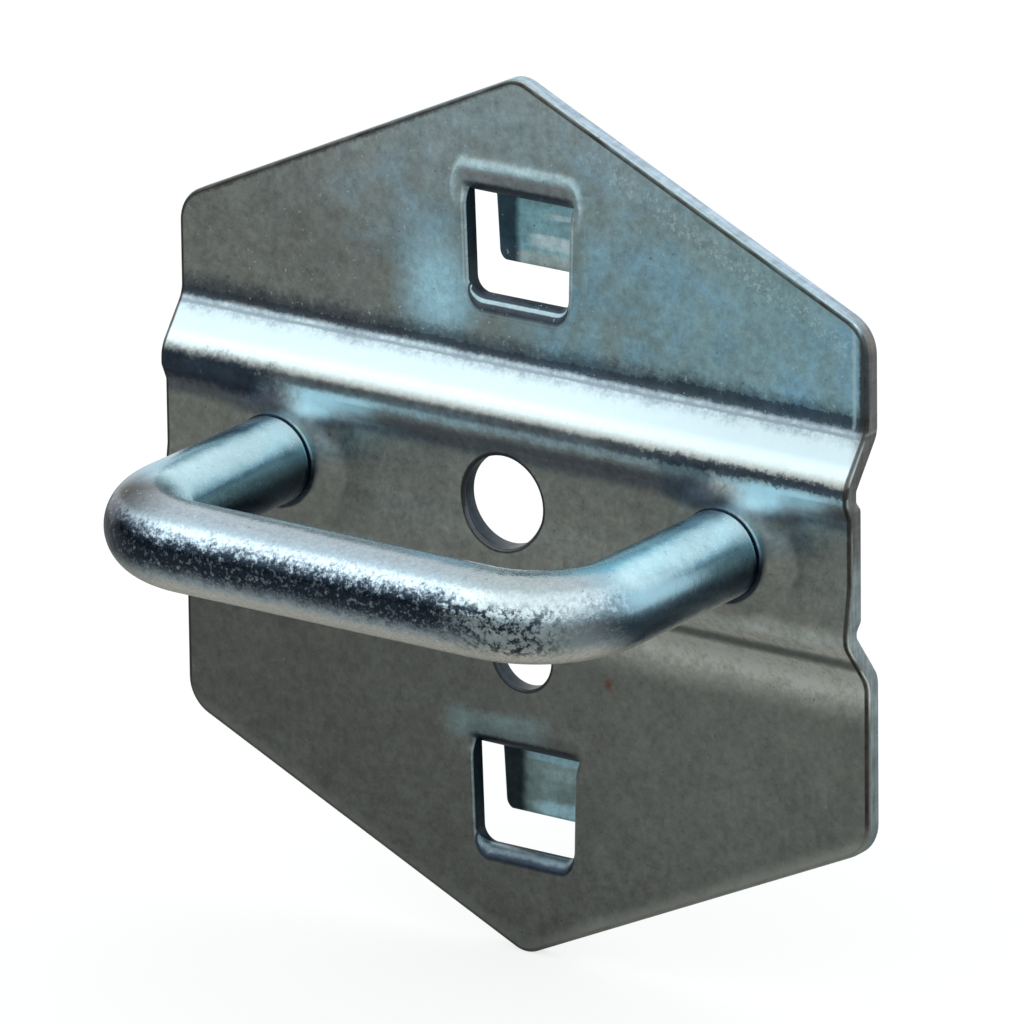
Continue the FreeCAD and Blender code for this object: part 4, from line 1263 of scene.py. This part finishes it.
def bar_zinc(finish, sizes, axis_height):
    """Zinc-plated wire: drawn and bent, so its skin is lumpier and more pitted than the sheet's; its colour
    carries painted highlights, reflections and shade.
    """
    material, nodes = empty_material("bar_zinc")
    place = object_places(nodes)
    across, along, up = nodes.axes(place)
    cloud = nodes.waver(place, 0.11, 3.0, 0.55, 0.3)
    mottle = nodes.waver(place, 0.9, 4.0, 0.65)
    grain = nodes.waver(place, 3.6, 3.0, 0.7)
    speck = nodes.noise(place, 2.3, 2.0, 0.8)
    lumps = nodes.noise(place, 1.5, 2.0, 0.6)
    ragged = mottle + (speck - 0.5) * 1.3
    radius = sizes.wire / 2 / MM
    high = (up - axis_height / MM) / radius
    behind_front = along + (sizes.front - sizes.wire / 2) / MM
    on_leg = behind_front.between(1.0, 5.0)
    leftward = across.falling(-18.5, -11.0)
    rightward = (across + ragged * 4.0).between(9.0, 14.0) * behind_front.falling(-1.5, 4.5)

    # The front: pale above, grey-brown below as a painted reflection of the floor, darkened towards the left
    # bend as painted shade, and with a dark line along its top.
    under = (high + ragged * 0.2).falling(-0.70, -0.26)
    tone = nodes.blend(under, nodes.blend(rightward * 0.8, finish.wire, finish.pale), finish.under)
    upper_line = (high + ragged * 0.15).within(0.82, 1.2, 0.12)
    tone = nodes.scaled(tone, 1.0 - upper_line * 0.3 - leftward * (0.76 + cloud * 0.6))

    # A painted dark reflection along it, broken by bright crumbs and scattered at the right bend.
    from_streak = abs(high - 0.13 - leftward * 0.05 + ragged * 0.34 + grain * 0.5) - leftward * 0.10
    scattered = (speck + (lumps - 0.5) * 0.8 + grain * 0.4).falling(0.34, 0.60) * high.within(-0.45, 0.35, 0.3)
    streak = from_streak.falling(0.22, 0.60) * (1.0 - rightward)
    streak = streak + scattered * rightward * across.falling(16.0, 19.5)
    crumbs = (speck + grain * 0.3).between(0.50, 0.72)

    # The legs: cyan, lighter where they face up and right as painted light, with a painted highlight along the
    # upper right, painted shade in dark teal under it, and the painted floor reflection again below.
    beside_leg = (across - across.sign() * (sizes.leg_pitch / 2 / MM)) / radius
    facing = high * 0.82 + beside_leg * 0.57 + mottle * 0.06
    gleam = (facing + cloud * 0.12 - across.between(-5.0, 5.0) * 0.03).between(0.84, 1.0) * on_leg
    under_leg = (high + ragged * 0.15).falling(-0.90, -0.50)
    leg_tone = nodes.painted(
        nodes.scaled(finish.leg, 0.60 + facing.between(0.25, 0.95) * 0.4),
        ((high + ragged * 0.15).within(-0.70, -0.15, 0.5) * 0.85, finish.deep),
        (under_leg * (0.45 + across.between(0.0, 1.0) * 0.45), finish.under),
        (gleam, finish.leg_gleam))

    streak = streak * (1.0 - crumbs * 0.62) * 0.97
    tone = nodes.painted(tone, (streak, dimmed(finish.deep, 0.7)), (on_leg, leg_tone))
    tone = nodes.scaled(tone, 1.0 + (mottle * 0.4 + grain * 0.6) * (1.0 - on_leg * 0.6))
    tone = nodes.painted(tone, (speck.between(0.64, 0.76) * (1.0 - on_leg) * 0.5, finish.bright),
                         ((1.0 - speck).between(0.64, 0.76) * 0.5, finish.stain))
    rough = finish.bar_roughness + mottle * 0.18 + grain * 0.12
    height = nodes.noise(place, 0.55, 2.0, 0.5) * 0.030 + lumps * (0.022 + rightward * 0.030)
    height = (height + speck * 0.012 + (grain + 0.5) * 0.003) * (1.0 - on_leg * 0.65)
    # Metallic drops under the painted highlight and the painted reflection on the underside, so that they take
    # in more light.
    make_surface(nodes, tone, 1.0 - (gleam * 0.85).most(under * 0.75), rough.most(0.08), height)
    return material


def link_surface(nodes, surface):
    nodes.add("ShaderNodeOutputMaterial", {}, {"Surface": surface})


# ---------------------------------------------------------------------------
# The bar, by Geometry Nodes
# ---------------------------------------------------------------------------

def riveted_end(sizes, shoulder, seat):
    """One leg's end about the Y axis: rounded shoulder, spigot and peened head, open towards the leg."""
    radius = sizes.wire / 2
    spigot = radius - sizes.shoulder_width
    head = spigot + sizes.head_overhang
    top = seat + sizes.head_height

    def rounded(away, level, rounding):
        return [(away - rounding * (1 - math.cos(turn)), level - rounding * (1 - math.sin(turn)))
                for turn in np.linspace(0, math.pi / 2, 7)]

    line = [(radius, shoulder - 2 * sizes.end_round)] + rounded(radius, shoulder, sizes.end_round)
    line += [(spigot, shoulder), (spigot, seat), (head - HEAD_CHAMFER, seat), (head, seat + HEAD_CHAMFER)]
    line += rounded(head, top, sizes.head_round) + [(0.45 * head, top + 0.02 * MM)]
    work = bmesh.new()
    turns = np.arange(sizes.rim_steps) * math.tau / sizes.rim_steps
    rows = [[work.verts.new((away * math.cos(turn), level, away * math.sin(turn))) for turn in turns]
            for away, level in line]
    for row, following in zip(rows, rows[1:]):
        for step in range(sizes.rim_steps):
            after = (step + 1) % sizes.rim_steps
            work.faces.new((row[step], row[after], following[after], following[step]))
    work.faces.new(rows[-1])
    mesh = bpy.data.meshes.new("riveted_end")
    work.to_mesh(mesh)
    work.free()
    return mesh


def bar_tree(material):
    """Geometry Nodes: sweeps the wire along its bent path and sets a riveted end on each leg."""
    tree = bpy.data.node_groups.new("bent_bar", "GeometryNodeTree")
    tree.interface.new_socket("Geometry", in_out="INPUT", socket_type="NodeSocketGeometry")
    for name in ("Wire", "Leg pitch", "Leg start", "Front axis", "Axis height", "Bend radius"):
        tree.interface.new_socket(name, in_out="INPUT", socket_type="NodeSocketFloat")
    for name in ("Bend steps", "Rim steps"):
        tree.interface.new_socket(name, in_out="INPUT", socket_type="NodeSocketInt")
    tree.interface.new_socket("Geometry", in_out="OUTPUT", socket_type="NodeSocketGeometry")
    nodes = Nodes(tree)
    given = nodes.outputs(nodes.add("NodeGroupInput"))
    half_pitch = given["Leg pitch"] / 2.0

    # Four corners of the path: leg, front, front, leg.
    number = nodes.add("GeometryNodeInputIndex")
    across = half_pitch - (number > 1.5) * given["Leg pitch"]
    on_front = abs(number - 1.5) < 1.0
    along = given["Leg start"] + on_front * (given["Front axis"] - given["Leg start"])
    corner = nodes.add("ShaderNodeCombineXYZ", {}, {"X": across, "Y": along, "Z": given["Axis height"]})
    line = nodes.add("GeometryNodeMeshLine", {"mode": "OFFSET"}, {"Count": 4})
    path = nodes.add("GeometryNodeSetPosition", {}, {"Geometry": line, "Position": corner})
    path = nodes.add("GeometryNodeMeshToCurve", {}, {"Mesh": path})
    path = nodes.add("GeometryNodeFilletCurve", {"mode": "POLY"},
                     {"Curve": path, "Radius": given["Bend radius"], "Count": given["Bend steps"]})
    ring = nodes.add("GeometryNodeCurvePrimitiveCircle", {"mode": "RADIUS"},
                     {"Resolution": given["Rim steps"], "Radius": given["Wire"] / 2.0})
    wire = nodes.add("GeometryNodeCurveToMesh", {}, {"Curve": path, "Profile Curve": ring})

    # The two riveted ends.
    ends = nodes.add("GeometryNodeMeshLine", {"mode": "OFFSET"}, {
        "Count": 2,
        "Start Location": nodes.add("ShaderNodeCombineXYZ", {}, {"X": -half_pitch, "Z": given["Axis height"]}),
        "Offset": nodes.add("ShaderNodeCombineXYZ", {}, {"X": given["Leg pitch"]})})
    ends = nodes.add("GeometryNodeInstanceOnPoints", {}, {"Points": ends, "Instance": given["Geometry"]})
    ends = nodes.add("GeometryNodeRealizeInstances", {}, {0: ends})

    whole = nodes.add("GeometryNodeJoinGeometry", {}, {0: [wire, ends]})
    whole = nodes.add("GeometryNodeMergeByDistance", {}, {"Geometry": whole, "Distance": MERGE_STEP})
    whole = nodes.add("GeometryNodeSetMaterial", {}, {"Geometry": whole, "Material": material})
    nodes.add("NodeGroupOutput", {}, {0: whole})
    return tree


def set_inputs(modifier, values):
    """Sets a Geometry Nodes modifier's inputs through their sockets' identifiers."""
    for item in modifier.node_group.interface.items_tree:
        if item.in_out == "INPUT" and item.name in values:
            modifier[item.identifier] = values[item.name]


def made_plain(piece):
    """Turns the evaluated piece into a plain closed mesh, without its modifier."""
    evaluated = piece.evaluated_get(bpy.context.evaluated_depsgraph_get())
    mesh = bpy.data.meshes.new_from_object(evaluated)
    piece.modifiers.clear()
    piece.data = mesh
    finish_mesh(mesh, piece.name, BAR_SHARP)


# ---------------------------------------------------------------------------
# Operators
# ---------------------------------------------------------------------------

def show(name, data):
    piece = bpy.data.objects.new(name, data)
    bpy.context.scene.collection.objects.link(piece)
    return piece


class HOOK_OT_make_plate(bpy.types.Operator):
    """Build the pressed plate with its windows, tabs, holes and collars"""

    bl_idname = "panel_hook.make_plate"
    bl_label = "Make Plate"

    def execute(self, context):
        scene = context.scene
        plate = show("pressed_plate", plate_mesh(scene.hook_plate, scene.hook_bar))
        plate.data.materials.append(PlateZinc(scene.hook_zinc, scene.hook_plate, scene.hook_bar).make())
        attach(plate, "root")
        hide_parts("plate")
        return {"FINISHED"}


class HOOK_OT_make_bar(bpy.types.Operator):
    """Build the bent wire bar with its two riveted ends"""

    bl_idname = "panel_hook.make_bar"
    bl_label = "Make Bar"

    def execute(self, context):
        scene = context.scene
        sizes, plate = scene.hook_bar, scene.hook_plate
        shoulder = -(plate.band_rise - plate.band_dip + plate.thickness + plate.collar_rise)
        seat = shoulder + plate.thickness
        bar = show("bent_bar", riveted_end(sizes, shoulder, seat))
        axis_height = plate.band_level - plate.axis_drop
        material = bar_zinc(scene.hook_zinc, sizes, axis_height)
        modifier = bar.modifiers.new("bent_bar", "NODES")
        modifier.node_group = bar_tree(material)
        set_inputs(modifier, {
            "Wire": sizes.wire,
            "Leg pitch": sizes.leg_pitch,
            "Leg start": shoulder - 2 * sizes.end_round,
            "Front axis": sizes.wire / 2 - sizes.front,
            "Axis height": axis_height,
            "Bend radius": sizes.bend_inside + sizes.wire / 2,
            "Bend steps": sizes.bend_steps,
            "Rim steps": sizes.rim_steps,
        })
        made_plain(bar)
        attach(bar, "root")
        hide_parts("bar")
        return {"FINISHED"}


def seen_white(nodes, behind):
    """1 for what the lens sees and for what is mirrored on the backdrop's side, and 0 for light."""
    rays = nodes.outputs(nodes.add("ShaderNodeLightPath"))
    mirrored = rays["Is Glossy Ray"].most(rays["Is Transmission Ray"]) * behind
    return rays["Is Camera Ray"].most(mirrored)


def floor_material(studio):
    """Plain floor, white to the lens and, on the backdrop's side, in reflections; shadows stay on it."""
    material, nodes = empty_material("plain_floor")
    _, depth, _ = nodes.axes(nodes.add("ShaderNodeTexCoord", output="Object"))
    matt = nodes.add("ShaderNodeBsdfDiffuse", {}, {"Color": studio.floor_colour})
    glow = nodes.add("ShaderNodeEmission", {}, {"Color": WHITE, "Strength": studio.floor_glow})
    lit = nodes.add("ShaderNodeAddShader", {}, {0: matt, 1: glow})
    white = seen_white(nodes, depth.between(0.06, 0.25))
    link_surface(nodes, nodes.add("ShaderNodeMixShader", {}, {0: white, 1: matt, 2: lit}))
    return material


def studio_world(studio):
    """Soft light from above over a dim horizon in front; white behind the hook and to the lens."""
    world = bpy.data.worlds.new("studio")
    world.use_nodes = True
    world.node_tree.nodes.clear()
    nodes = Nodes(world.node_tree)
    across, depth, up = nodes.axes(nodes.add("ShaderNodeTexCoord", output="Generated"))
    high, overhead = (up.between(*(math.sin(math.radians(angle)) for angle in angles))
                      for angles in (HORIZON_BAND, OVERHEAD_BAND))
    low = studio.ground_light + across.between(-0.25, 0.15) * (studio.side_light - studio.ground_light)
    strength = low + high * (studio.sky_light - low)
    strength = strength + overhead * (studio.top_light - studio.sky_light)
    tint = nodes.blend(high, studio.low_tint, studio.high_tint)
    studio_light = nodes.add("ShaderNodeBackground", {}, {"Color": tint, "Strength": strength})
    white = nodes.add("ShaderNodeBackground", {}, {"Color": WHITE, "Strength": 1.0})
    chosen = seen_white(nodes, depth.between(0.0, 0.25))
    light = nodes.add("ShaderNodeMixShader", {}, {0: chosen, 1: studio_light, 2: white})
    nodes.add("ShaderNodeOutputWorld", {}, {"Surface": light})
    return world


def camera_place(studio):
    """The camera's place and turn, from where it stands round the hook."""
    azimuth, elevation, roll = studio.azimuth, studio.elevation, studio.roll
    ahead = Vector((-math.sin(azimuth) * math.cos(elevation), math.cos(azimuth) * math.cos(elevation),
                    -math.sin(elevation)))
    level = Vector((math.cos(azimuth), math.sin(azimuth), 0.0))
    upright = level.cross(ahead)
    right = math.cos(roll) * level + math.sin(roll) * upright
    up = math.cos(roll) * upright - math.sin(roll) * level
    turn = Matrix((right, up, -ahead)).transposed().to_4x4()
    return Matrix.Translation(Vector((studio.target_x, 0.0, 0.0)) - ahead * studio.distance) @ turn


class HOOK_OT_make_studio(bpy.types.Operator):
    """Build the floor, the soft light and the camera"""

    bl_idname = "panel_hook.make_studio"
    bl_label = "Make Studio"

    def execute(self, context):
        studio = context.scene.hook_studio
        work = bmesh.new()
        bmesh.ops.create_circle(work, cap_ends=True, segments=FLOOR_SIDES, radius=studio.floor_radius)
        bmesh.ops.translate(work, verts=work.verts, vec=(0.0, 0.0, CAD_BOX[0][2]))
        mesh = bpy.data.meshes.new("floor")
        work.to_mesh(mesh)
        work.free()
        mesh.materials.append(floor_material(studio))
        show("floor", mesh)
        context.scene.world = studio_world(studio)

        key = bpy.data.lights.new("key", "AREA")
        key.shape, key.size, key.energy = "DISK", studio.key_size, studio.key_power
        lamp = show("key", key)
        stand = Vector(studio.key_place)
        lamp.matrix_world = Matrix.Translation(stand) @ stand.to_track_quat("Z", "Y").to_matrix().to_4x4()

        lens = bpy.data.cameras.new("camera")
        lens.lens, lens.sensor_width, lens.clip_end = studio.lens, SENSOR, CLIP_END
        camera = show("camera", lens)
        camera.matrix_world = camera_place(studio)
        context.scene.camera = camera
        context.scene.view_settings.view_transform = "Standard"
        return {"FINISHED"}


class HOOK_PT_panel(bpy.types.Panel):
    """Sizes, finish and studio of the hook, with a button for each piece"""

    bl_idname = "HOOK_PT_panel"
    bl_label = "Panel Hook"
    bl_space_type = "VIEW_3D"
    bl_region_type = "UI"
    bl_category = "Panel Hook"

    def draw(self, context):
        scene = context.scene
        for title, group, operator in (("Plate", scene.hook_plate, HOOK_OT_make_plate),
                                       ("Bar", scene.hook_bar, HOOK_OT_make_bar),
                                       ("Finish", scene.hook_zinc, None),
                                       ("Studio", scene.hook_studio, HOOK_OT_make_studio)):
            box = self.layout.box()
            box.label(text=title)
            for key in group.__annotations__:
                box.prop(group, key)
            if operator:
                box.operator(operator.bl_idname)


CLASSES = (PlateSizes, BarSizes, ZincFinish, StudioSettings, HOOK_OT_make_plate, HOOK_OT_make_bar,
           HOOK_OT_make_studio, HOOK_PT_panel)
GROUPS = {"hook_plate": PlateSizes, "hook_bar": BarSizes, "hook_zinc": ZincFinish,
          "hook_studio": StudioSettings}


def register():
    for item in CLASSES:
        bpy.utils.register_class(item)
    for name, group in GROUPS.items():
        setattr(bpy.types.Scene, name, PointerProperty(type=group))


def unregister():
    for name in GROUPS:
        delattr(bpy.types.Scene, name)
    for item in reversed(CLASSES):
        bpy.utils.unregister_class(item)


def main():
    register()
    bpy.ops.panel_hook.make_plate()
    bpy.ops.panel_hook.make_bar()
    bpy.ops.panel_hook.make_studio()


if __name__ == "__main__":
    main()
